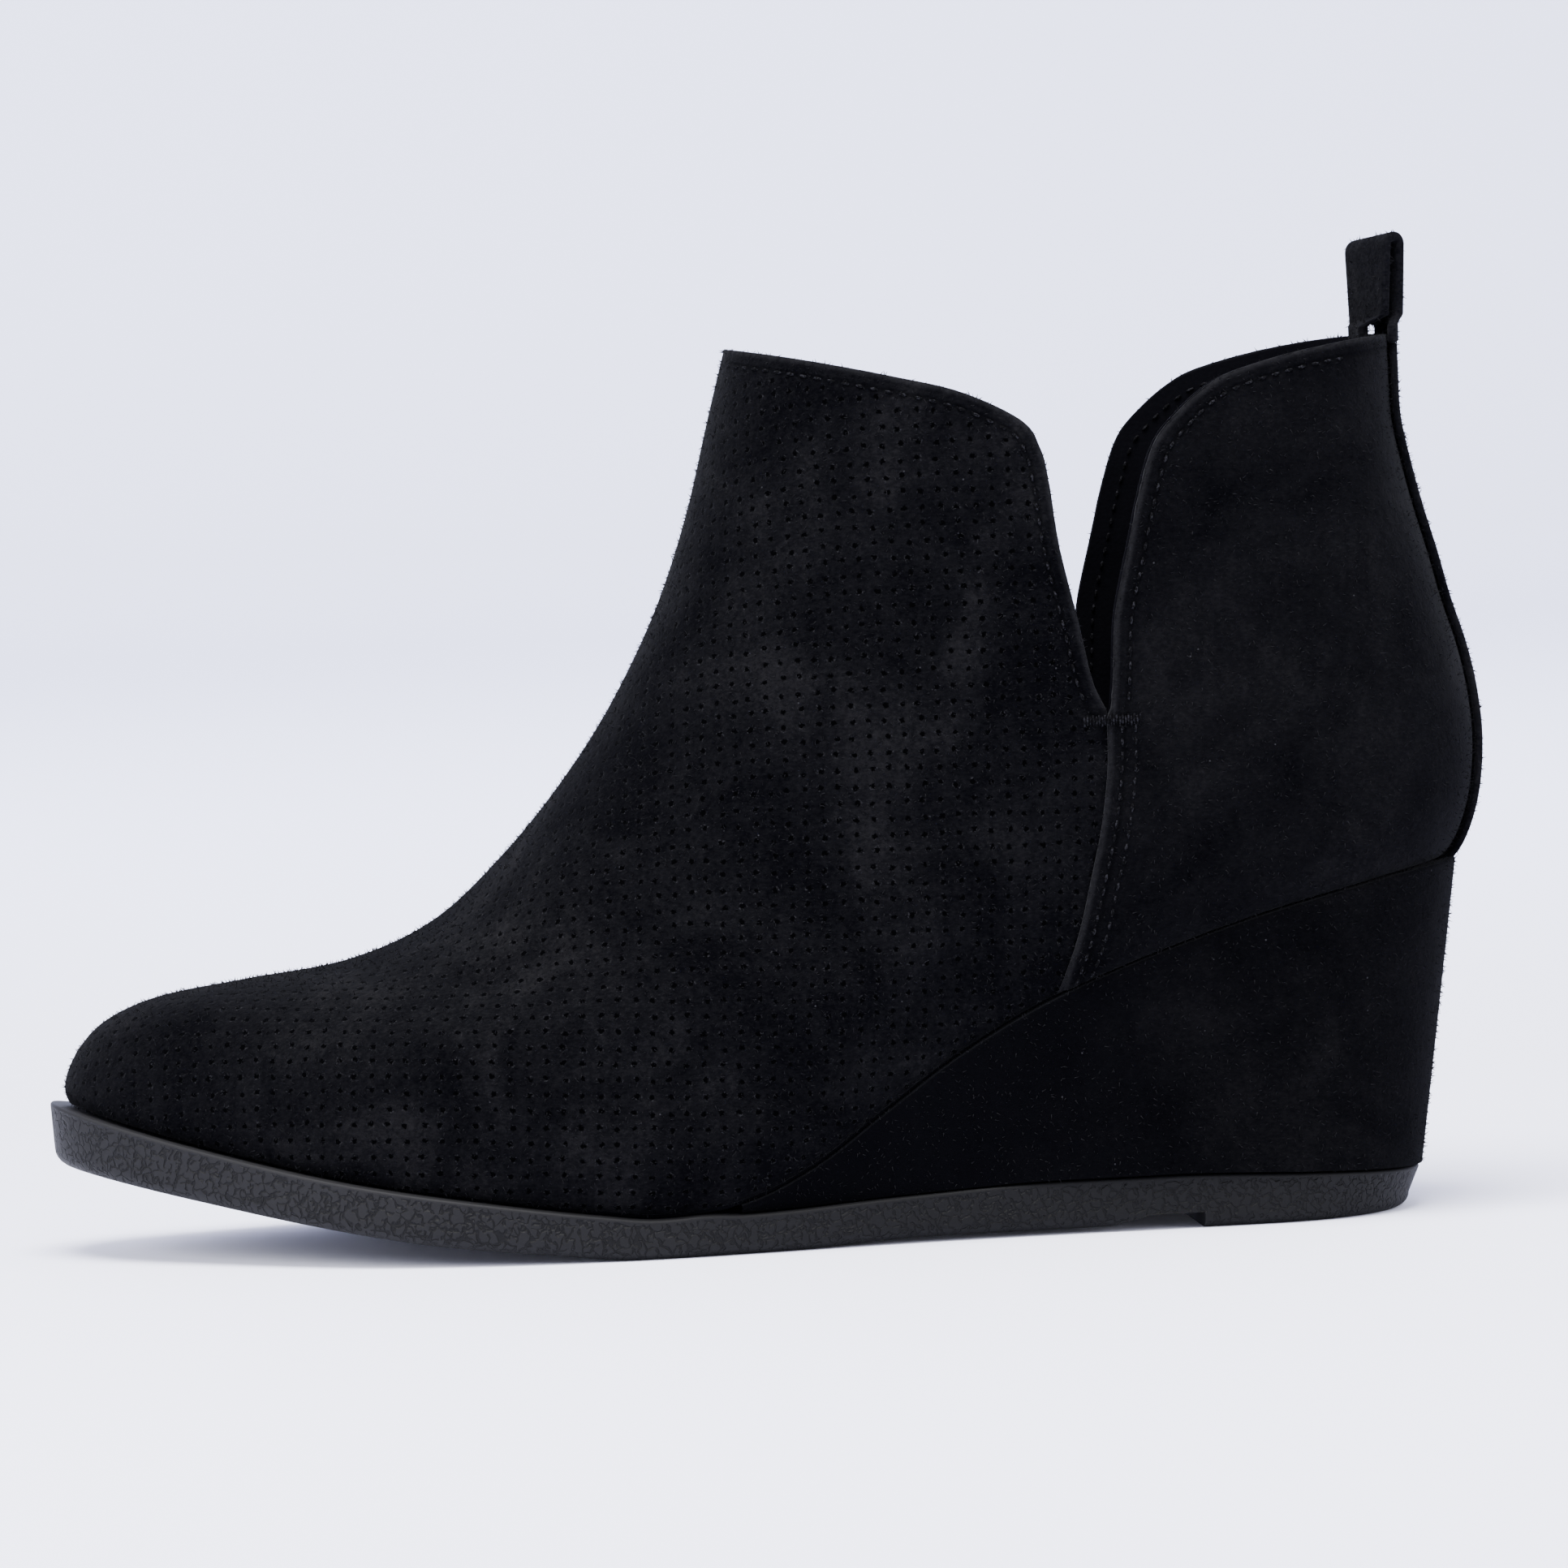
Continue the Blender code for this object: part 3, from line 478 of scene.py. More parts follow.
class Finish(Tree):
    # A material with its shader
    def __init__(self, name, **fixed):
        self.material = bpy.data.materials.new(name)
        self.material.use_nodes = True
        super().__init__(self.material.node_tree)
        self.shader = self.nodes["Principled BSDF"]
        for key, value in fixed.items():
            self.shader.inputs[key.replace("_", " ")].default_value = value
        self.place = self.node("ShaderNodeTexCoord", {}, {}, "Object")

    def scaled(self, scale, turn=(0, 0, 0), source=None):
        return self.node("ShaderNodeMapping", {},
                         {"Vector": source or self.place, "Scale": scale, "Rotation": turn})

    def noise(self, size, detail=3.0, roughness=0.55, distortion=0.0, source=None):
        # size: how wide one cloud is, in metres
        return self.node("ShaderNodeTexNoise", {}, {
            "Vector": source or self.place, "Scale": 1.0 / size, "Detail": detail,
            "Roughness": roughness, "Distortion": distortion})

    def attribute(self, name):
        return self.node("ShaderNodeAttribute", {"attribute_name": name}, {}, "Fac")

    def blend(self, share, first, second):
        # Two colours, mixed
        made = self.nodes.new("ShaderNodeMix")
        made.data_type = "RGBA"
        for key, value in ((0, share), (6, first), (7, second)):
            if isinstance(value, Sock):
                self.links.new(value.socket, made.inputs[key])
            else:
                made.inputs[key].default_value = value if key == 0 else (*value, 1.0)
        return Sock(self, made.outputs[2])

    def bump(self, height, distance, strength=1.0, under=None):
        values = {"Height": height, "Distance": distance, "Strength": strength}
        if under:
            values["Normal"] = under
        return self.node("ShaderNodeBump", {}, values)

    def to(self, key, value):
        self.links.new(value.socket, self.shader.inputs[key])


suede = {
    "dark": (0.0009, 0.0009, 0.0013), "middle": (0.0026, 0.0026, 0.0031),
    "light": (0.0070, 0.0068, 0.0074), "paintedShade": (0.0003, 0.0003, 0.0004),
    "dustAndHighlight": (0.0220, 0.0220, 0.0240), "cloudSize": 0.021, "pitch": (0.0030, 0.0028),
    "holeSize": 0.15, "margin": 0.0036, "stitchRow": 0.0027,
}


def suedeFinish(name, holes=False, rim=True, lift=1.0, calm=1.0, shade=0.0):
    # lift: lighter or darker; calm: evens the mottling; shade: darkens the front
    f = Finish(name, Roughness=0.95, Sheen_Weight=0.022, Sheen_Roughness=0.45,
               Sheen_Tint=(0.80, 0.82, 0.90, 1.0), Specular_IOR_Level=0.0)
    clouds = f.noise(suede["cloudSize"], 4.0, 0.58, 0.7)
    wide = f.noise(0.050, 2.0, 0.5, 0.4)
    strokes = f.noise(0.0060, 3.0, 0.6, 1.0, f.scaled((1.0, 1.0, 0.5), (0.0, 0.5, 0.0)))
    fine = f.noise(0.0011, 3.0, 0.7)
    hairs = f.noise(0.00045, 2.0, 0.65, 0.0, f.scaled((0.5, 1.0, 1.0), (0.3, 0.7, 0.2)))
    tone = (clouds * 0.62 + wide * 0.24 + strokes * 0.20 + (fine - 0.5) * 0.34
            + (hairs - 0.5) * 0.34 - 0.03)
    dark, middle, light = (tuple(c * lift for c in suede[key]) for key in ("dark", "middle", "light"))
    colour = f.node("ShaderNodeValToRGB", {"stops": (
        (0.53 - 0.16 * calm, dark), (0.53 + 0.21 * calm, light), (0.53, middle))}, {"Fac": tone})
    if shade:
        reach = f.node("ShaderNodeSeparateXYZ", {}, {0: f.place}, "X").step(-0.02, 0.08)
        colour = f.blend(reach * shade, colour, suede["dark"])
    height = (fine - 0.5) * 0.7 + (hairs - 0.5) * 0.6 + (strokes - 0.5) * 0.5
    dust = f.node("ShaderNodeTexVoronoi", {"feature": "F1"},
                  {"Vector": f.place, "Scale": 170.0, "Randomness": 1.0}, "Distance")
    colour = f.blend(dust.step(0.032, 0.020) * 0.8, colour, suede["dustAndHighlight"])
    if rim:
        # The edge is puffed and lighter, a painted highlight that is partly wear; the stitch row pulls it in,
        # and its channel gets painted shade
        apart = f.attribute("rimDistance")
        aside = apart - suede["stitchRow"]
        row = aside.math("ABSOLUTE", aside).step(0.75 * mm, 0.1 * mm)
        # Painted shade in the stitch row's channel
        colour = f.blend(row * 0.35, colour, suede["paintedShade"])
        # Painted highlight along the edge, partly wear
        colour = f.blend((apart.step(1.3 * mm, 0.2 * mm) * (fine * 0.8 + 0.2)) * 0.30, colour, suede["dustAndHighlight"])
        height = height - row * 0.8
    if holes:
        pattern = f.node("ShaderNodeUVMap", {"uv_map": "pattern"}, {})
        wobble = f.noise(0.00050, 2.0, 0.6)
        cells = f.node("ShaderNodeTexVoronoi", {"voronoi_dimensions": "2D", "feature": "F1"},
                       {"Vector": pattern, "Scale": 1.0, "Randomness": 0.22}, "Distance")
        apart = cells + (wobble - 0.5) * 0.38
        inside = f.attribute("rimDistance").step(suede["margin"] - 0.3 * mm, suede["margin"])
        mask = apart.step(suede["holeSize"] + 0.045, suede["holeSize"] - 0.03) * inside
        near = apart.step(suede["holeSize"] + 0.20, suede["holeSize"] + 0.05) * inside
        # Painted highlight: light flecks on the pinholes' rims
        spots = f.noise(0.00035, 1.0).step(0.60, 0.70)
        colour = f.blend(near * spots * 0.45, colour, suede["dustAndHighlight"])
        # Painted shade: each pinhole is painted near-black, for the shade inside the hole and the dark lining
        # behind it
        colour = f.blend(mask, colour, suede["paintedShade"])
        height = height - mask * 0.55 - near * 0.10
    f.to("Base Color", colour)
    f.to("Normal", f.bump(height, 0.00022, 0.9))
    return f.material


print("materials ready")


# The vamp, both sides in one panel, with its pinholes
vamp = {"across": 240, "up": 118, "thickness": 0.0013}


def flattened(points, start):
    # Lays a small grid of points flat, keeping its distances
    rows, columns = points.shape[:2]
    index = np.arange(rows * columns).reshape(rows, columns)
    pairs = np.concatenate([np.stack((p.ravel(), q.ravel()), 1) for p, q in (
        (index[:, :-1], index[:, 1:]), (index[:-1], index[1:]),
        (index[:-1, :-1], index[1:, 1:]), (index[1:, :-1], index[:-1, 1:]))])
    flat, uv = points.reshape(-1, 3), start.reshape(-1, 2).copy()
    i, j = pairs.T
    rest = np.linalg.norm(flat[i] - flat[j], axis=1)
    pull = np.zeros((len(flat), len(flat)))
    np.add.at(pull, (i, i), 1.0)
    np.add.at(pull, (j, j), 1.0)
    np.add.at(pull, (i, j), -1.0)
    np.add.at(pull, (j, i), -1.0)
    solve = np.linalg.pinv(pull, hermitian=True)
    for _ in range(400):
        apart = uv[i] - uv[j]
        apart *= (rest / np.maximum(np.linalg.norm(apart, axis=1), 1e-9))[:, None]
        total = np.zeros_like(uv)
        np.add.at(total, i, apart)
        np.add.at(total, j, -apart)
        uv = solve @ total + uv.mean(0)
    return uv.reshape(rows, columns, 2)


def fineUv(points, u, v):
    # Flattens a coarse share of the grid and fills in between
    rows, columns = points.shape[:2]
    pickR = np.unique(np.linspace(0, rows - 1, 26).round().astype(int))
    pickC = np.unique(np.linspace(0, columns - 1, 28).round().astype(int))
    coarse = points[np.ix_(pickR, pickC)]
    start = coarse[..., [0, 2]]
    laid = flattened(coarse, start)
    wide = np.stack([np.stack([np.interp(u, u[pickC], row[:, k]) for row in laid]) for k in (0, 1)], 2)
    full = np.stack([np.stack([np.interp(v, v[pickR], wide[:, c, k]) for c in range(columns)], 1)
                     for k in (0, 1)], 2)
    return full / np.array(suede["pitch"])


def vampSide(side, v):
    seam = toForm(*seamLine(tuck=cuts["tuck"]), side)
    rim = toForm(*rimLine(vampRows, ridgeX, 0, 5.5), side)
    return spread(np.concatenate((seam[0], rim[0][1:])), np.concatenate((seam[1], rim[1][1:])), v)


def vampTop(side, at):
    a, level = toForm(*rimLine(vampRows, ridgeX, 5.5, 10), side)
    a[-1] = pi
    return spread(a, level, at)


def joinedTop(first, second):
    return np.concatenate((first, second[::-1][1:]))


vampV = crowded(vamp["up"], 0.13, True, True)
halfU = crowded(vamp["across"] // 2 + 1, 0.16, True, False)
vampU = np.concatenate((halfU / 2, 1 - halfU[::-1][1:] / 2))
left, right = vampSide(1, vampV), vampSide(-1, vampV)
top = joinedTop(vampTop(1, halfU), vampTop(-1, halfU))
bottom = joinedTop(spread(np.linspace(left[0, 0], pi, 200), np.zeros(200), halfU),
                   spread(np.linspace(right[0, 0], pi, 200), np.zeros(200), halfU))
vampPlaces = coons(left, right, bottom, top, vampU, vampV)
vampPoints = skin(vampPlaces[..., 0], vampPlaces[..., 1])[0]
vampRim = np.concatenate([form(*toForm(*rimLine(vampRows, ridgeX, 0, 10, count=260), s)) for s in (1, -1)])
rimApart = nearest(vampPoints, vampRim)


def rounded(points, out, apart, radius):
    # Turns an edge over towards the panel's inside, near its rim
    near = np.clip(1 - apart / abs(radius), 0, 1)
    return points - out * (radius * (1 - np.sqrt(1 - near ** 2)))[..., None]


def panelObject(name, places, offset, thickness, apart, uv=None):
    # A panel of the upper: outer face, inner face and the edge between them
    outer, out = skin(places[..., 0], places[..., 1], offset)
    inner = skin(places[..., 0], places[..., 1], offset - thickness)[0]
    radius = 0.45 * thickness
    outer, inner = rounded(outer, out, apart, radius), rounded(inner, out, apart, -radius)
    parts = [gridObject(name, outer, True, values={"rimDistance": apart}, uv=uv),
             gridObject(name, inner, False, values={"rimDistance": apart}, uv=uv)]
    return bmObject(name, gathered(parts))


middle = len(halfU) - 1
halves = [fineUv(vampPoints[:, :middle + 1], vampU[:middle + 1], vampV),
          fineUv(vampPoints[:, middle:], vampU[middle:], vampV)]
vampPiece = panelObject("vamp", vampPlaces, 0.0, vamp["thickness"], rimApart, (*halves, middle))
vampMaterial = suedeFinish("perforatedSuede", holes=True, lift=0.95, calm=1.05)
finishPiece(vampPiece, vampMaterial, ["upper"])
print("vamp made")


# The quarter round the heel
quarter = {"across": 190, "up": 96, "thickness": 0.0016}


def quarterSide(side, v):
    seam = toForm(*seamLine(), side)
    rim = toForm(*rimLine(quarterRows, backX, 0, 5.5), side)
    a = np.concatenate((seam[0], rim[0][1:]))
    return spread(a if side > 0 else a - 2 * pi, np.concatenate((seam[1], rim[1][1:])), v)


def quarterTop(side, at):
    a, level = toForm(*rimLine(quarterRows, backX, 5.5, 10), side)
    a = a if side > 0 else a - 2 * pi
    a[-1] = 0.0
    return spread(a, level, at)


quarterV = crowded(quarter["up"], 0.11, True, True)
halfU = crowded(quarter["across"] // 2 + 1, 0.07, True, False)
quarterU = np.concatenate((halfU / 2, 1 - halfU[::-1][1:] / 2))
left, right = quarterSide(-1, quarterV), quarterSide(1, quarterV)
top = joinedTop(quarterTop(-1, halfU), quarterTop(1, halfU))
bottom = joinedTop(spread(np.linspace(left[0, 0], 0, 200), np.zeros(200), halfU),
                   spread(np.linspace(right[0, 0], 0, 200), np.zeros(200), halfU))
quarterPlaces = coons(left, right, bottom, top, quarterU, quarterV)
quarterPoints = skin(quarterPlaces[..., 0], quarterPlaces[..., 1], cuts["quarterStep"])[0]
quarterRim = []
for side in (1, -1):
    quarterRim.append(form(*toForm(*rimLine(quarterRows, backX, 0, 10, count=220), side)))
    quarterRim.append(form(*toForm(*seamLine(count=120), side)))
quarterRim = np.concatenate(quarterRim)
rimApart = np.sqrt(np.maximum(nearest(quarterPoints, quarterRim) ** 2 - cuts["quarterStep"] ** 2, 0))
quarterPiece = panelObject("quarter", quarterPlaces, cuts["quarterStep"], quarter["thickness"], rimApart)
finishPiece(quarterPiece, suedeFinish("plainSuede", lift=0.80, calm=1.4))
print("quarter made")


# The lining behind both, seen through the collar and the notches
lining = {"dark": (0.0012, 0.0012, 0.0019), "light": (0.0038, 0.0038, 0.0050)}


def liningFinish():
    f = Finish("liningCloth", Roughness=0.95, Specular_IOR_Level=0.01)
    weave = f.noise(0.0007, 2.0, 0.5)
    clouds = f.noise(0.012, 2.0)
    f.to("Base Color", f.blend((clouds * 0.6 + weave * 0.4).capped(), lining["dark"], lining["light"]))
    f.to("Normal", f.bump(weave, 0.00012, 0.6))
    return f.material


liningMaterial = liningFinish()
for name, places in (("vampLining", vampPlaces), ("quarterLining", quarterPlaces)):
    places = places[::2, ::2]
    away = np.full(places.shape[:2], 1.0)
    finishPiece(panelObject(name, places, -0.0014, 0.0005, away), liningMaterial)
print("lining made")


# The margin turned in under the insole, which closes the upper's underside
margin = {"shrink": (0.985, 0.96, 1.0), "middle": 0.094, "thickness": 0.0014, "drop": 0.00045}
turns, ground = np.linspace(0, pi, 90), np.zeros(90)
hub = np.array((margin["middle"], 0.0, 0.0))
edges = [hub + (form(a, ground) - hub) * margin["shrink"] for a in (turns, -turns)]
sheet = np.stack([mix(*edges, k / 12) for k in range(13)])
sheet[..., 2] -= margin["drop"]
lift = np.array((0.0, 0.0, margin["thickness"]))
bm = gathered([gridObject("sheet", sheet + lift, True), gridObject("sheet", sheet, False)])
finishPiece(bmObject("turnedMargin", bm, smooth=False), liningMaterial)
print("margin made")


# The covered wedge
wedge = {
    "tip": 0.1015, "topBack": 0.0309, "baseBack": 0.0236, "proud": 0.0009, "fade": 1.3,
    "shoulder": 0.0005, "heelLip": -0.0008, "gap": 0.0003, "floorGap": 0.0005,
}
sole = {
    "toeReach": 0.2185, "heelBack": 0.0230, "heelRake": 0.0019, "toeRake": 0.0005,
    "heelHeight": 0.0092, "lip": 0.0020, "lipStart": 0.3, "lipLength": 0.6, "spring": 0.0165,
    "waistRise": 0.0009, "edge": 0.0024, "rimEdge": 0.0006, "breastReach": 0.0195,
    "breastWidth": 0.0095, "breastDepth": 0.0028, "breastSlope": 0.0090,
}
# reach, waist, toe
treadRows = ((-0.20, 0.0, 0.00), (0.10, 0.0, 0.00), (0.17, 1.0, 0.00), (0.31, 1.0, 0.00),
             (0.43, 0.0, 0.00), (0.55, 0.0, 0.00), (0.60, 0.0, 0.065), (0.70, 0.0, 0.210),
             (0.80, 0.0, 0.432), (0.90, 0.0, 0.705), (1.00, 0.0, 1.000))
# reach, height
bedRows = ((-0.25, 0.78), (0.00, 0.94), (0.25, 1.03), (0.45, 1.02), (0.70, 0.90), (1.00, 0.75),
           (1.25, 0.78))
soleBed = tableCurve(bedRows, 1)
treadWaist, treadToe = tableCurve(treadRows, 1), tableCurve(treadRows, 2)


def soleTop(x):
    own = soleBed(x / wedge["tip"]) * sole["heelHeight"]
    return mix(own, lowerEdge(x) - wedge["floorGap"], eased((x - wedge["tip"]) / (0.1 * wedge["tip"])))


def tread(x):
    reach = x / sole["toeReach"]
    return treadWaist(reach) * sole["waistRise"] + treadToe(reach) * sole["spring"]


def lipAt(x):
    share = eased((x / wedge["tip"] - sole["lipStart"]) / sole["lipLength"])
    return mix(wedge["heelLip"], sole["lip"], share)


def planY(share, side):
    turn = np.arccos(1 - 2 * np.clip(share, 0, 1))
    return halfWidth(turn, np.zeros(turn.shape), side), np.sqrt(np.maximum(np.sin(turn), 0))


def planRing(back, front, a):
    turn = np.where(a <= pi, a, 2 * pi - a)
    share = 0.5 - 0.5 * np.cos(turn)
    x = mix(-back, front, share)
    outer, fade = planY(share, 1)
    inner, _ = planY(share, -1)
    y = np.where(a <= pi, outer + lipAt(x) * fade, inner - lipAt(x) * fade)
    return np.stack((x, y), 1)


def planInset(ring, inset):
    # The same ring, moved in towards its middle
    along = np.roll(ring, -1, 0) - np.roll(ring, 1, 0)
    turned = np.stack((-along[:, 1], along[:, 0]), 1)
    turned /= np.linalg.norm(turned, axis=1, keepdims=True)
    sign = np.sign((turned * (ring.mean(0) - ring)).sum())
    return ring + turned * sign * inset


def wedgeSide(height, side, spans):
    back = mix(wedge["baseBack"], wedge["topBack"], height)
    share = (1 - np.cos(spans)) / (1 - cos(1.0))
    x = mix(-back, wedge["tip"], share)
    along = (x + back) / (back + mix(sole["toeReach"], last["toeReach"], height))
    y, fade = planY(along, side)
    proud = mix(wedge["heelLip"] + wedge["proud"], wedge["proud"], height) * eased(wedge["fade"] - share)
    return np.stack((x, y + side * proud * fade), 1)


spans = np.linspace(0, 1, 90)
rows = []
heights = np.concatenate((np.linspace(0, 1, 26), np.ones(4)))
for n, height in enumerate(heights):
    ring = np.concatenate((wedgeSide(height, 1, spans)[::-1], wedgeSide(height, -1, spans)[1:]))
    low, high = soleTop(ring[:, 0]) + wedge["gap"], lowerEdge(ring[:, 0]) - wedge["floorGap"]
    shoulder = np.minimum(wedge["shoulder"], 0.4 * (high - low))
    bend = max(0, n - 25) / 4 * pi / 2
    toward = np.stack((np.maximum(-ring[:, 0], 0), -ring[:, 1]), 1)
    toward /= np.maximum(np.linalg.norm(toward, axis=1, keepdims=True), 1e-9)
    z = mix(low, high - shoulder, height) + shoulder * sin(bend)
    ring = ring + toward * (shoulder * (1 - cos(bend)))[:, None]
    rows.append(np.column_stack((ring, z)))
rows.append(np.column_stack((rows[-1][:, 0], rows[-1][:, 1] * 0.6, rows[-1][:, 2])))
points = np.array(rows)
wedgePiece = gridObject("wedgeCover", points, flip=False)
wedgeMaterial = suedeFinish("wedgeSuede", rim=False, lift=0.60, calm=1.3, shade=0.80)
finishPiece(wedgePiece, wedgeMaterial, ["wedge"])
print("wedge made")


# The outsole
rubber = {"dark": (0.0054, 0.0054, 0.0062), "light": (0.0098, 0.0096, 0.0103),
          "groove": (0.0006, 0.0006, 0.0009), "cell": 0.0018, "warp": 0.0026, "heelShade": 0.78}


def rubberFinish():
    f = Finish("crackledRubber", Roughness=0.60, Specular_IOR_Level=0.10)
    side = f.attribute("relief")
    bend = f.node("ShaderNodeTexNoise", {}, {"Vector": f.place, "Scale": 520.0, "Detail": 1.0}, "Color")
    warped = f.node("ShaderNodeVectorMath", {"operation": "MULTIPLY_ADD"}, {
        0: bend, 1: (rubber["warp"],) * 3, 2: f.place})
    cells = f.node("ShaderNodeTexVoronoi", {"feature": "DISTANCE_TO_EDGE"},
                   {"Vector": warped, "Scale": 1.0 / rubber["cell"], "Randomness": 1.0}, "Distance")
    parted = f.noise(0.0011, 0.0).step(0.30, 0.42)
    groove = cells.step(0.130, 0.030) * parted * side
    speck = f.noise(0.0006, 2.0)
    clouds = f.noise(0.02, 3.0)
    colour = f.blend((clouds * 0.7 + speck * 0.3).capped(), rubber["dark"], rubber["light"])
    reach = f.node("ShaderNodeSeparateXYZ", {}, {0: f.place}, "X").step(0.06, 0.18)
    # Painted shade: the rubber darkens towards the heel
    colour = f.blend((1 - reach) * rubber["heelShade"], colour, rubber["groove"])
    # Painted shade: the crackle's grooves are darkened
    colour = f.blend((groove * 0.65).capped(), colour, rubber["groove"])
    f.to("Base Color", colour)
    f.to("Normal", f.bump((1 - groove) + speck * 0.10, 0.00040, 1.0))
    return f.material


turns = np.linspace(0, 2 * pi, 421)[:-1]
edgeRing = planRing(sole["heelBack"], sole["toeReach"], turns)
lowRing = planRing(sole["heelBack"] - sole["heelRake"], sole["toeReach"] - sole["toeRake"], turns)
rows, relief = [], []
for i in range(6):
    bend = 0.5 * pi * i / 5
    ring = planInset(lowRing, sole["edge"] * (1 - sin(bend)))
    rows.append(np.column_stack((ring, tread(ring[:, 0]) + sole["edge"] * (1 - cos(bend)))))
    relief.append(min(1.0, i / 4))
topRing = np.column_stack((edgeRing, soleTop(edgeRing[:, 0]) - sole["rimEdge"]))
for i in range(1, 13):
    rows.append(mix(rows[5], topRing, i / 12))
    relief.append(1.0 if i < 12 else 0.0)
for i in range(1, 4):
    bend = 0.5 * pi * i / 3
    ring = planInset(edgeRing, sole["rimEdge"] * (1 - cos(bend)))
    rows.append(np.column_stack((ring, soleTop(ring[:, 0]) - sole["rimEdge"] * (1 - sin(bend)))))
    relief.append(0.0)
points = np.array(rows)
points = np.concatenate((points, points[:, :1]), axis=1)
values = np.repeat(np.array(relief)[:, None], points.shape[1], 1)


def closedRings(name, points, values, across=10):
    # Closes a ring of rows below and above with grids across the boot
    parts = []
    half = (points.shape[1] - 1) // 2
    for row, flip in ((0, True), (-1, False)):
        ring = points[row, :-1]
        outer = ring[:half + 1]
        inner = np.concatenate((ring[:1], ring[:half - 1:-1]))
        sheet = np.stack([mix(outer, inner, k / across) for k in range(across + 1)])
        parts.append(gridObject("cap", sheet, flip=flip, values={"relief": np.zeros(sheet.shape[:2])}))
    parts.append(gridObject("wall", points, flip=False, values={"relief": values}))
    return bmObject(name, gathered(parts, welded=True))


solePiece = closedRings("outsoleRubber", points, values)
front = sole["breastReach"] + sole["breastWidth"]
bm = bmesh.new()
corners = ((sole["breastReach"], -0.003), (sole["breastReach"], sole["breastDepth"]),
           (front, sole["breastDepth"]), (front + sole["breastSlope"], sole["waistRise"] - 0.0003),
           (front + sole["breastSlope"], -0.003))
face = bm.faces.new([bm.verts.new((x, -0.06, z)) for x, z in corners])
far = bmesh.ops.extrude_face_region(bm, geom=[face])["geom"]
bmesh.ops.translate(bm, verts=[g for g in far if isinstance(g, bmesh.types.BMVert)], vec=(0, 0.12, 0))
bmesh.ops.recalc_face_normals(bm, faces=bm.faces)
recess = bmObject("recess", bm, smooth=False)
cut = solePiece.modifiers.new("recess", "BOOLEAN")
cut.operation, cut.solver, cut.object = "DIFFERENCE", "EXACT", recess
applied(solePiece)
bpy.data.objects.remove(recess)
solePiece.data.set_sharp_from_angle(angle=radians(38))
finishPiece(solePiece, rubberFinish(), ["outsole"])
print("outsole made")


# Stitches: small rounded threads laid along lines on the skin
thread = {"pitch": 0.0026, "length": 0.0017, "width": 0.00060, "height": 0.00034,
          "inset": 0.0028, "insideInset": 0.0030, "rows": (0.0024, 0.0048), "rowPitch": 0.0023,
          "black": (0.0030, 0.0030, 0.0036), "tack": (0.0026, 0.0026, 0.0032)}
# The bar tack across the notch's foot: threads, reach ahead, width, thread length and height apart
tack = {"count": 20, "ahead": 0.0042, "across": 0.0098, "half": 0.0009, "drop": 0.0012,
        "jog": 0.0003, "lift": 0.0002, "length": 0.0022, "width": 0.0005}


def threadFinish(name, colour):
    f = Finish(name, Roughness=0.8, Specular_IOR_Level=0.02)
    twist = f.noise(0.0004, 1.5)
    dark, light = tuple(c * 0.5 for c in colour), tuple(c * 4.0 for c in colour)
    f.to("Base Color", f.blend(twist.step(0.45, 0.70), dark, light))
    f.to("Normal", f.bump(twist, 0.0001, 0.7))
    return f.material


def stitchRun(bm, places, offset, pitch=None, length=None, width=None):
    # places: (a, level) pairs in order; one thread for each pitch
    points, out = skin(places[:, 0], places[:, 1], offset)
    walk = walkAlong(points)
    pitch = pitch or thread["pitch"]
    count = max(1, int(walk[-1] / pitch))
    for n in range(count):
        at = (n + 0.5) * walk[-1] / count
        centre = np.array([np.interp(at, walk, points[:, k]) for k in range(3)])
        ahead = np.array([np.interp(at + 0.0006, walk, points[:, k]) for k in range(3)])
        behind = np.array([np.interp(at - 0.0006, walk, points[:, k]) for k in range(3)])
        normal = np.array([np.interp(at, walk, out[:, k]) for k in range(3)])
        along = Vector(ahead - behind).normalized()
        up = Vector(normal).normalized()
        across = up.cross(along).normalized()
        turned = Matrix((along, across, up)).transposed().to_4x4()
        size = Matrix.Diagonal(((length or thread["length"]) / 2, (width or thread["width"]) / 2,
                                thread["height"], 1.0))
        bmesh.ops.create_uvsphere(bm, u_segments=6, v_segments=5, radius=1.0,
                                  matrix=Matrix.Translation(centre) @ turned @ size)


def placesOf(x, z, side):
    a, level = toForm(x, z, side)
    return np.stack((a, level), 1)


bm = bmesh.new()
for side in (1, -1):
    for rows, target, start, end, inset, offset in (
            (vampRows, ridgeX, 0.6, 10, thread["inset"], 0.0),
            (quarterRows, backX, 0.3, 9.4, thread["inset"], cuts["quarterStep"]),
            (quarterRows, backX, 0.3, 9.4, thread["insideInset"], -0.0020)):
        stitchRun(bm, placesOf(*rimLine(rows, target, start, end, inset, 200), side), offset)
    for behind in thread["rows"]:
        x, z = seamLine(inset=behind, count=160)
        keep = z < cuts["notchFoot"] - tack["drop"]
        stitchRun(bm, placesOf(x[keep], z[keep], side), cuts["quarterStep"], pitch=thread["rowPitch"])
finishPiece(bmObject("edgeStitches", bm), threadFinish("blackThread", thread["black"]))

# One thread to a run, so that they stand close and upright
bm = bmesh.new()
for side in (1, -1):
    for n in range(tack["count"]):
        x = cuts["seamReach"] + tack["ahead"] - tack["across"] * n / (tack["count"] - 1)
        z = cuts["notchFoot"] - tack["drop"] + tack["jog"] * (n % 2)
        line = np.array([x, x]), np.array([z - tack["half"], z + tack["half"]])
        stitchRun(bm, placesOf(*line, side), cuts["quarterStep"] + tack["lift"], pitch=10 * mm,
                  length=tack["length"], width=tack["width"])
finishPiece(bmObject("barTacks", bm), threadFinish("tackThread", thread["tack"]))
print("stitches made")


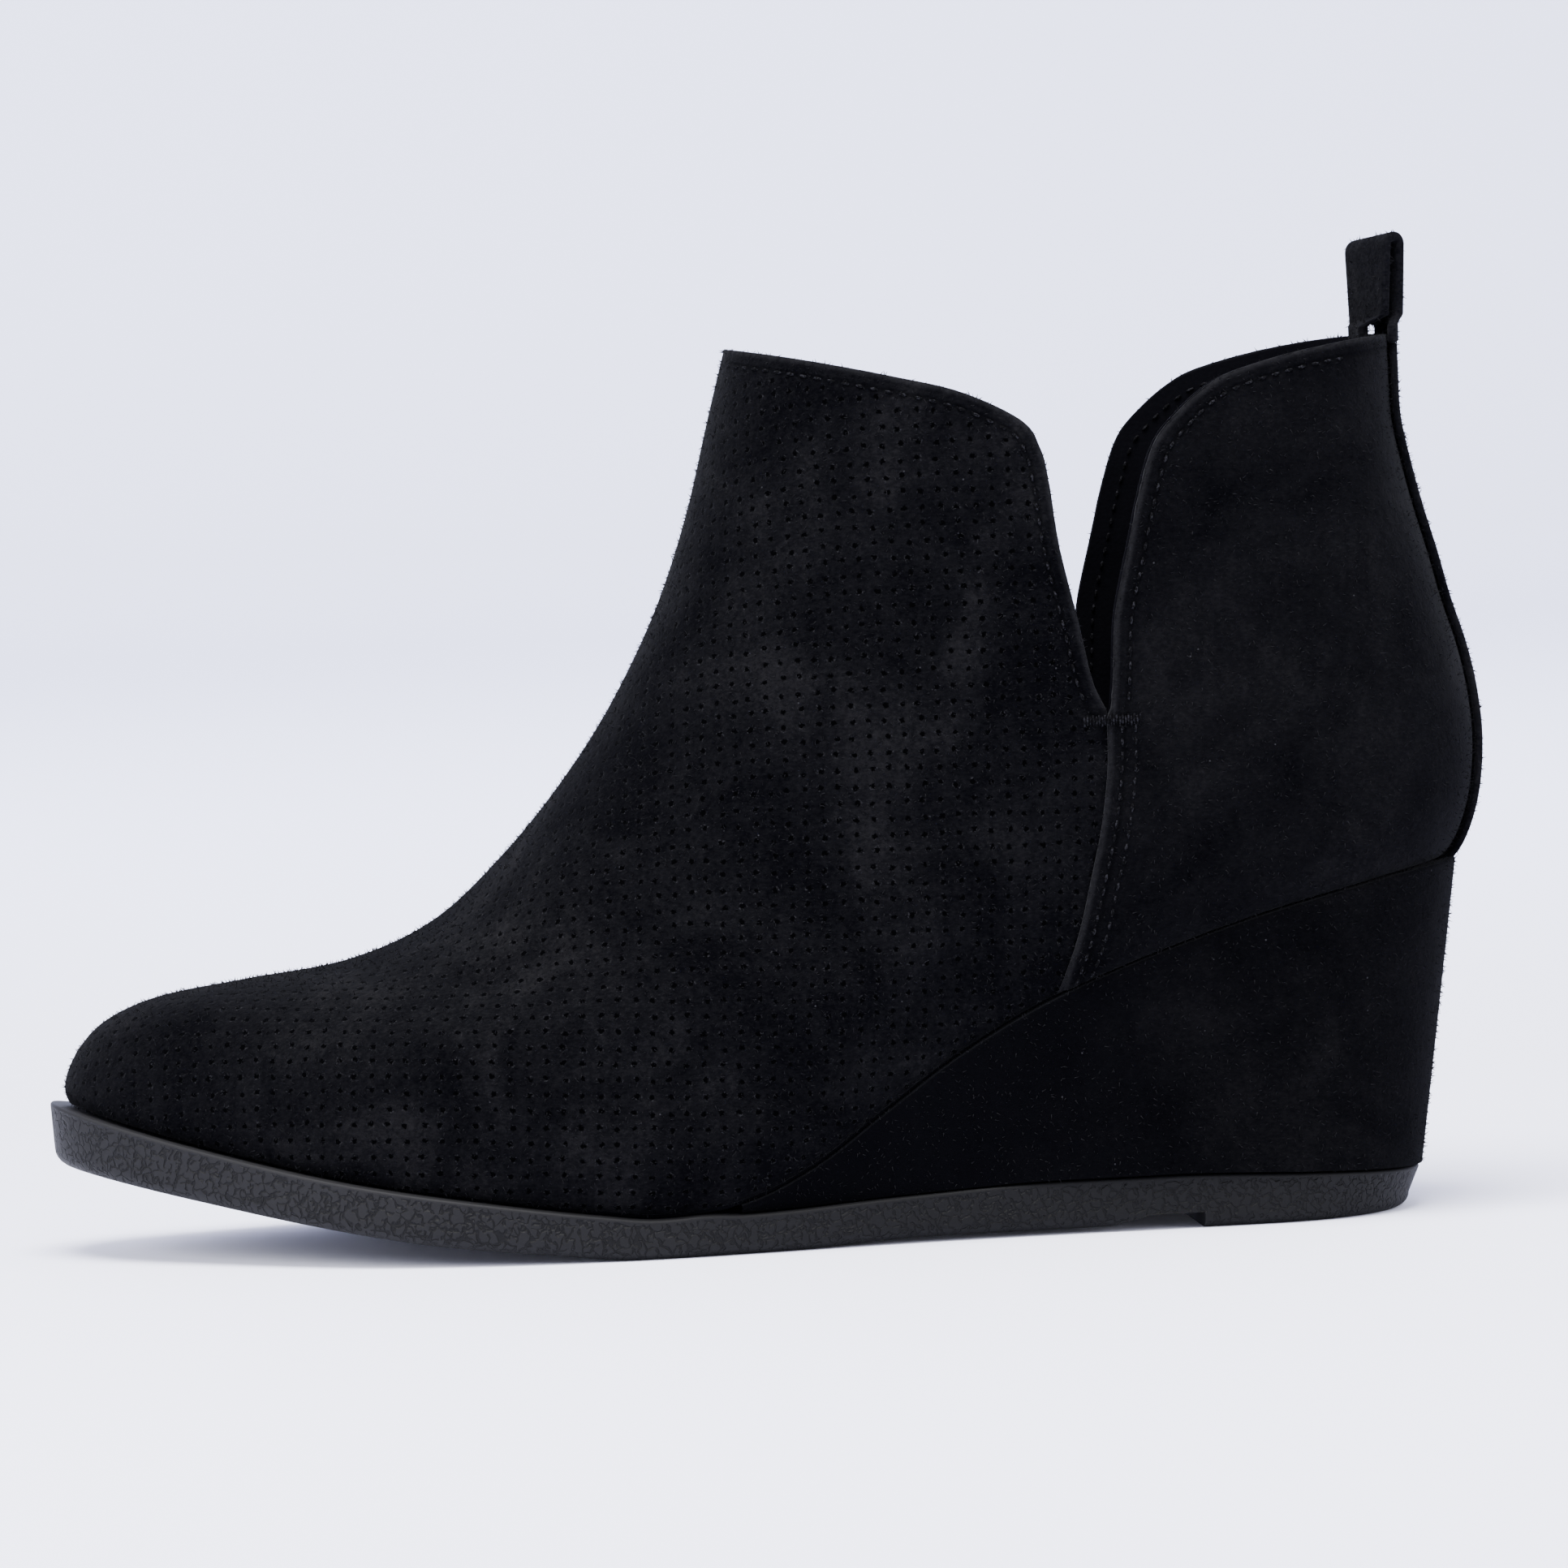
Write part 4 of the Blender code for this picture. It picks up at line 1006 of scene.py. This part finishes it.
# The strap over the back seam and the folded pull loop
strap = {"width": 0.0110, "thickness": 0.0013, "lift": 0.0003, "clear": -0.0004, "drop": 0.0029,
         "gap": 0.0003}
loop = {"width": 0.0125, "thickness": 0.0017, "rise": 0.0163, "slot": 0.0012, "reach": 0.0112,
        "turn": 0.0016, "footTwist": 18.0, "twist": 27.0, "tilt": 7.0, "centre": -0.0198}


def backPoint(height, across, offset):
    level = levelAt(height)
    backEnd, _, frontEnd, _ = ringEnds(level)
    slope = np.sqrt(backRound(level) * last["heelRound"] * (frontEnd - backEnd) / 2)
    points, out = skin(across / slope, level)
    return points + out * offset[..., None]


def sectionOf(half, thickness, columns=12, arc=4):
    # Rounded section of a strip: across and depth of each point, closed
    radius, spots = 0.42 * thickness, []
    for cx, cd, start in ((half - radius, radius, -90), (half - radius, thickness - radius, 0),
                          (radius - half, thickness - radius, 90), (radius - half, radius, 180)):
        angles = np.radians(start + np.linspace(0, 90, arc + 1))
        spots.append(np.stack((cx + radius * np.cos(angles), cd + radius * np.sin(angles)), 1))
    ring = []
    for k in range(4):
        ring.append(spots[k])
        ahead = spots[(k + 1) % 4][0]
        count = columns if k % 2 else 2
        ring.append(np.stack([mix(spots[k][-1], ahead, i / count) for i in range(1, count)]))
    ring.append(spots[0][:1])
    return np.concatenate(ring)


def stripObject(name, rings):
    return bmObject(name, gathered([gridObject(name, np.array(rings))], welded=True))


def endShares(count=4):
    # How a strip's thickness dwindles at its end, and how far it runs
    angles = np.linspace(pi / 2, 0, count)
    return [(cos(a), sin(a)) for a in angles]


across, depth = sectionOf(strap["width"] / 2, strap["thickness"]).T
low, high = last["seatHeight"] + strap["clear"], last["collarHeight"] - strap["drop"]
rings = []
ends = endShares()
rows = [(low + 0.0006 * (1 - reach), share) for share, reach in ends]
rows += [(height, 1.0) for height in np.linspace(low + 0.001, high, 70)]
rows += [(high + 0.0003, 0.6), (high + 0.0003, 0.0)]
for height, share in rows:
    inside = mix(strap["thickness"] / 2, depth, share)
    lift = strap["lift"] * (across / (strap["width"] / 2)) ** 2
    rings.append(backPoint(np.full(across.shape, height), across,
                           cuts["quarterStep"] + strap["gap"] + lift + inside))
# Painted light: the strap and loop suede is made lighter, standing in for the light on the strap's edges
strapMaterial = suedeFinish("strapSuedePaintedLight", rim=False, lift=1.5)
strapPiece = stripObject("backSeamStrap", rings)
finishPiece(strapPiece, strapMaterial, ["back_strap"])


def loopPoint(height, across, depth, free):
    share = np.clip((height - last["collarHeight"]) / loop["rise"], 0, 1)
    swing = np.radians(mix(loop["footTwist"], loop["twist"], share))
    place = np.stack((loop["centre"] + depth * np.cos(swing) - across * np.sin(swing),
                      across * np.cos(swing) + depth * np.sin(swing),
                      height + across * np.tan(radians(loop["tilt"]))), -1)
    thickness = np.abs(depth) - loop["slot"] / 2
    inside, outside = cuts["wall"] + strap["gap"] + thickness, cuts["quarterStep"] + strap["gap"] + thickness
    own = backPoint(np.minimum(height, last["collarHeight"] + loop["turn"] * 1.2), across,
                    np.where(depth > 0, -inside, outside))
    return mix(own, place, eased(free))


across, depth = sectionOf(loop["width"] / 2, loop["thickness"]).T
near = loop["slot"] / 2
clear = last["collarHeight"] + strap["gap"]
fold = last["collarHeight"] + loop["rise"] - near - loop["thickness"]
rings = []


def leg(heights, sign, shares=None):
    for n, height in enumerate(heights):
        inside = near + mix(loop["thickness"] / 2, depth, shares[n] if shares else 1.0)
        rings.append(loopPoint(np.full(across.shape, height), across, sign * inside,
                               (height - clear) / loop["turn"]))


bottom = last["collarHeight"] - loop["reach"]
parting = clear + loop["turn"]
rise = np.concatenate((np.linspace(clear, parting, 9), np.linspace(parting, fold, 16)[1:]))
leg([bottom, bottom + 0.0002, bottom + 0.0007], 1.0, [0.0, 0.7, 1.0])
leg(np.linspace(bottom + 0.001, clear, 8)[:-1], 1.0)
leg(rise, 1.0)
for bend in np.linspace(0, pi, 18)[1:-1]:
    inside = near + depth
    rings.append(loopPoint(fold + inside * sin(bend), across, inside * cos(bend), 1.0))
leg(rise[::-1], -1.0)
end = high + 0.0004
leg([mix(clear, end, 0.5), end + 0.0004, end, end], -1.0, [1.0, 1.0, 0.6, 0.0])
loopPiece = stripObject("heelLoop", rings)
finishPiece(loopPiece, strapMaterial, ["pull_loop"])
print("strap and loop made")


def softened(name, node, width):
    bm = bmesh.new()
    bm.from_mesh(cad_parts[node].data)
    bmesh.ops.remove_doubles(bm, verts=bm.verts, dist=weld)
    sharp = [e for e in bm.edges if len(e.link_faces) == 2 and e.calc_face_angle() > radians(50)]
    bmesh.ops.bevel(bm, geom=sharp, offset=width, segments=2, profile=0.5, affect="EDGES",
                    material=-1, clamp_overlap=True)
    return bmObject(name, bm)


def insoleFinish():
    f = Finish("insoleCloth", Roughness=0.9, Sheen_Weight=0.04, Specular_IOR_Level=0.05)
    weave = f.noise(0.0006, 2.0)
    f.to("Base Color", f.blend(weave, (0.007, 0.007, 0.009), (0.016, 0.016, 0.019)))
    f.to("Normal", f.bump(weave, 0.0001, 0.6))
    return f.material


finishPiece(softened("insoleBoard", "insole", 0.0006), insoleFinish(), ["insole"])
print("insole made")


# The suede's nap: short fibres standing off every suede skin
nap = {"density": 600000.0, "length": 0.00075, "radius": 0.000100, "lean": 0.9,
       "dark": (0.0040, 0.0040, 0.0047), "light": (0.0090, 0.0090, 0.0100)}


def napOn(name, pieces):
    bm = bmesh.new()
    for piece in pieces:
        bm.from_mesh(piece.data)
    base = bmObject(name, bm)
    group = bpy.data.node_groups.new(name, "GeometryNodeTree")
    for way in ("INPUT", "OUTPUT"):
        group.interface.new_socket("Geometry", in_out=way, socket_type="NodeSocketGeometry")
    tree = Tree(group)
    start = tree.node("NodeGroupInput", {}, {})
    made = group.nodes.new("GeometryNodeDistributePointsOnFaces")
    made.inputs["Density"].default_value = nap["density"]
    group.links.new(start.socket, made.inputs["Mesh"])
    blade = tree.node("GeometryNodeMeshCone", {"fill_type": "NONE"}, {
        "Vertices": 3, "Radius Bottom": nap["radius"], "Radius Top": 0.0, "Depth": nap["length"]})
    lean = tree.node("FunctionNodeRandomValue", {"data_type": "FLOAT_VECTOR"}, {
        0: (-nap["lean"],) * 3, 1: (nap["lean"],) * 3})
    turned = tree.node("FunctionNodeRotateRotation", {"rotation_space": "LOCAL"}, {
        "Rotation": Sock(tree, made.outputs["Rotation"]),
        "Rotate By": tree.node("FunctionNodeEulerToRotation", {}, {"Euler": lean})})
    size = tree.node("FunctionNodeRandomValue", {"data_type": "FLOAT"}, {2: 0.4, 3: 1.3, "Seed": 4}, 1)
    placed = tree.node("GeometryNodeInstanceOnPoints", {}, {
        "Points": Sock(tree, made.outputs["Points"]), "Instance": blade, "Rotation": turned, "Scale": size})
    whole = tree.node("GeometryNodeRealizeInstances", {}, {"Geometry": placed})
    tree.node("NodeGroupOutput", {}, {"Geometry": whole}, None)
    base.modifiers.new("nap", "NODES").node_group = group
    return applied(base)


f = Finish("napFibre", Roughness=0.9, Specular_IOR_Level=0.0)
f.to("Base Color", f.blend(f.noise(0.01, 2.0), nap["dark"], nap["light"]))
napFinish = f.material
finishPiece(napOn("upperNap", (vampPiece, quarterPiece)), napFinish)
finishPiece(napOn("wedgeNap", (wedgePiece,)), napFinish)
finishPiece(napOn("strapNap", (strapPiece, loopPiece)), napFinish)
print("nap made")


# Floor, lights and the photograph's camera
stageSet = {"floor": (0.84, 0.850, 0.98), "glow": 0.02, "world": (0.80, 0.80, 0.93), "worldPower": 1.55}
bm = bmesh.new()
bmesh.ops.create_grid(bm, x_segments=1, y_segments=40, size=0.5)
for v in bm.verts:
    t = 0.5 - v.co.y                       # 0 at the near end, 1 far and high
    run = t * 9.0
    v.co.x *= 14.0
    v.co.y = 3.0 - min(run, 5.5) - max(0.0, min(run - 5.5, 1.0)) * 0.6
    v.co.z = max(0.0, run - 5.5) ** 1.6
floor = bmObject("floor", bm)
f = Finish("paleFloor", Roughness=0.9, Specular_IOR_Level=0.1, Emission_Strength=stageSet["glow"],
           Emission_Color=(*stageSet["floor"], 1.0))
f.shader.inputs["Base Color"].default_value = (*stageSet["floor"], 1.0)
floor.data.materials.append(f.material)

world = bpy.data.worlds.new("studio")
bpy.context.scene.world = world
world.use_nodes = True
world.node_tree.nodes["Background"].inputs["Color"].default_value = (*stageSet["world"], 1.0)
world.node_tree.nodes["Background"].inputs["Strength"].default_value = stageSet["worldPower"]


def areaLight(name, at, aim, size, power, colour=(1.0, 1.0, 1.0)):
    light = bpy.data.lights.new(name, "AREA")
    light.shape, light.size, light.energy, light.color = "DISK", size, power, colour
    lamp = bpy.data.objects.new(name, light)
    bpy.context.scene.collection.objects.link(lamp)
    lamp.location = at
    lamp.rotation_euler = (Vector(at) - Vector(aim)).to_track_quat("Z", "Y").to_euler()


areaLight("above", (0.20, 0.35, 1.5), (0.08, 0, 0.05), 0.9, 74.0)
areaLight("toeSide", (1.3, 0.5, 0.8), (0.12, 0, 0.05), 0.9, 24.0)
areaLight("behind", (-0.9, -0.8, 0.9), (0.0, 0, 0.08), 0.8, 3.5)
areaLight("backdrop", (0.0, -0.9, 1.7), (0.0, -3.0, 0.9), 1.6, 110.0, (0.76, 0.82, 1.0))
areaLight("heelSide", (-1.2, 0.9, 0.6), (0.0, 0, 0.08), 0.9, 17.0)

view = {"azimuth": 6.0, "elevation": 3.5, "roll": -1.8, "distance": 1.5, "focal": 10500.0,
        "target": (0.088, 0.0, 0.0785)}
az, el, roll = (radians(view[k]) for k in ("azimuth", "elevation", "roll"))
back = Vector((sin(az) * cos(el), cos(az) * cos(el), sin(el)))
flatRight = (-back).cross(Vector((0, 0, 1))).normalized()
flatUp = flatRight.cross(-back)
right = flatRight * cos(roll) + flatUp * sin(roll)
up = flatUp * cos(roll) - flatRight * sin(roll)
lens = bpy.data.cameras.new("camera")
lens.sensor_width = 36.0
lens.lens = 36.0 * view["focal"] / 1932.0
camera = bpy.data.objects.new("camera", lens)
bpy.context.scene.collection.objects.link(camera)
turned = Matrix((right, up, back)).transposed().to_4x4()
camera.matrix_world = Matrix.Translation(Vector(view["target"]) + back * view["distance"]) @ turned
bpy.context.scene.camera = camera
print("stage set")
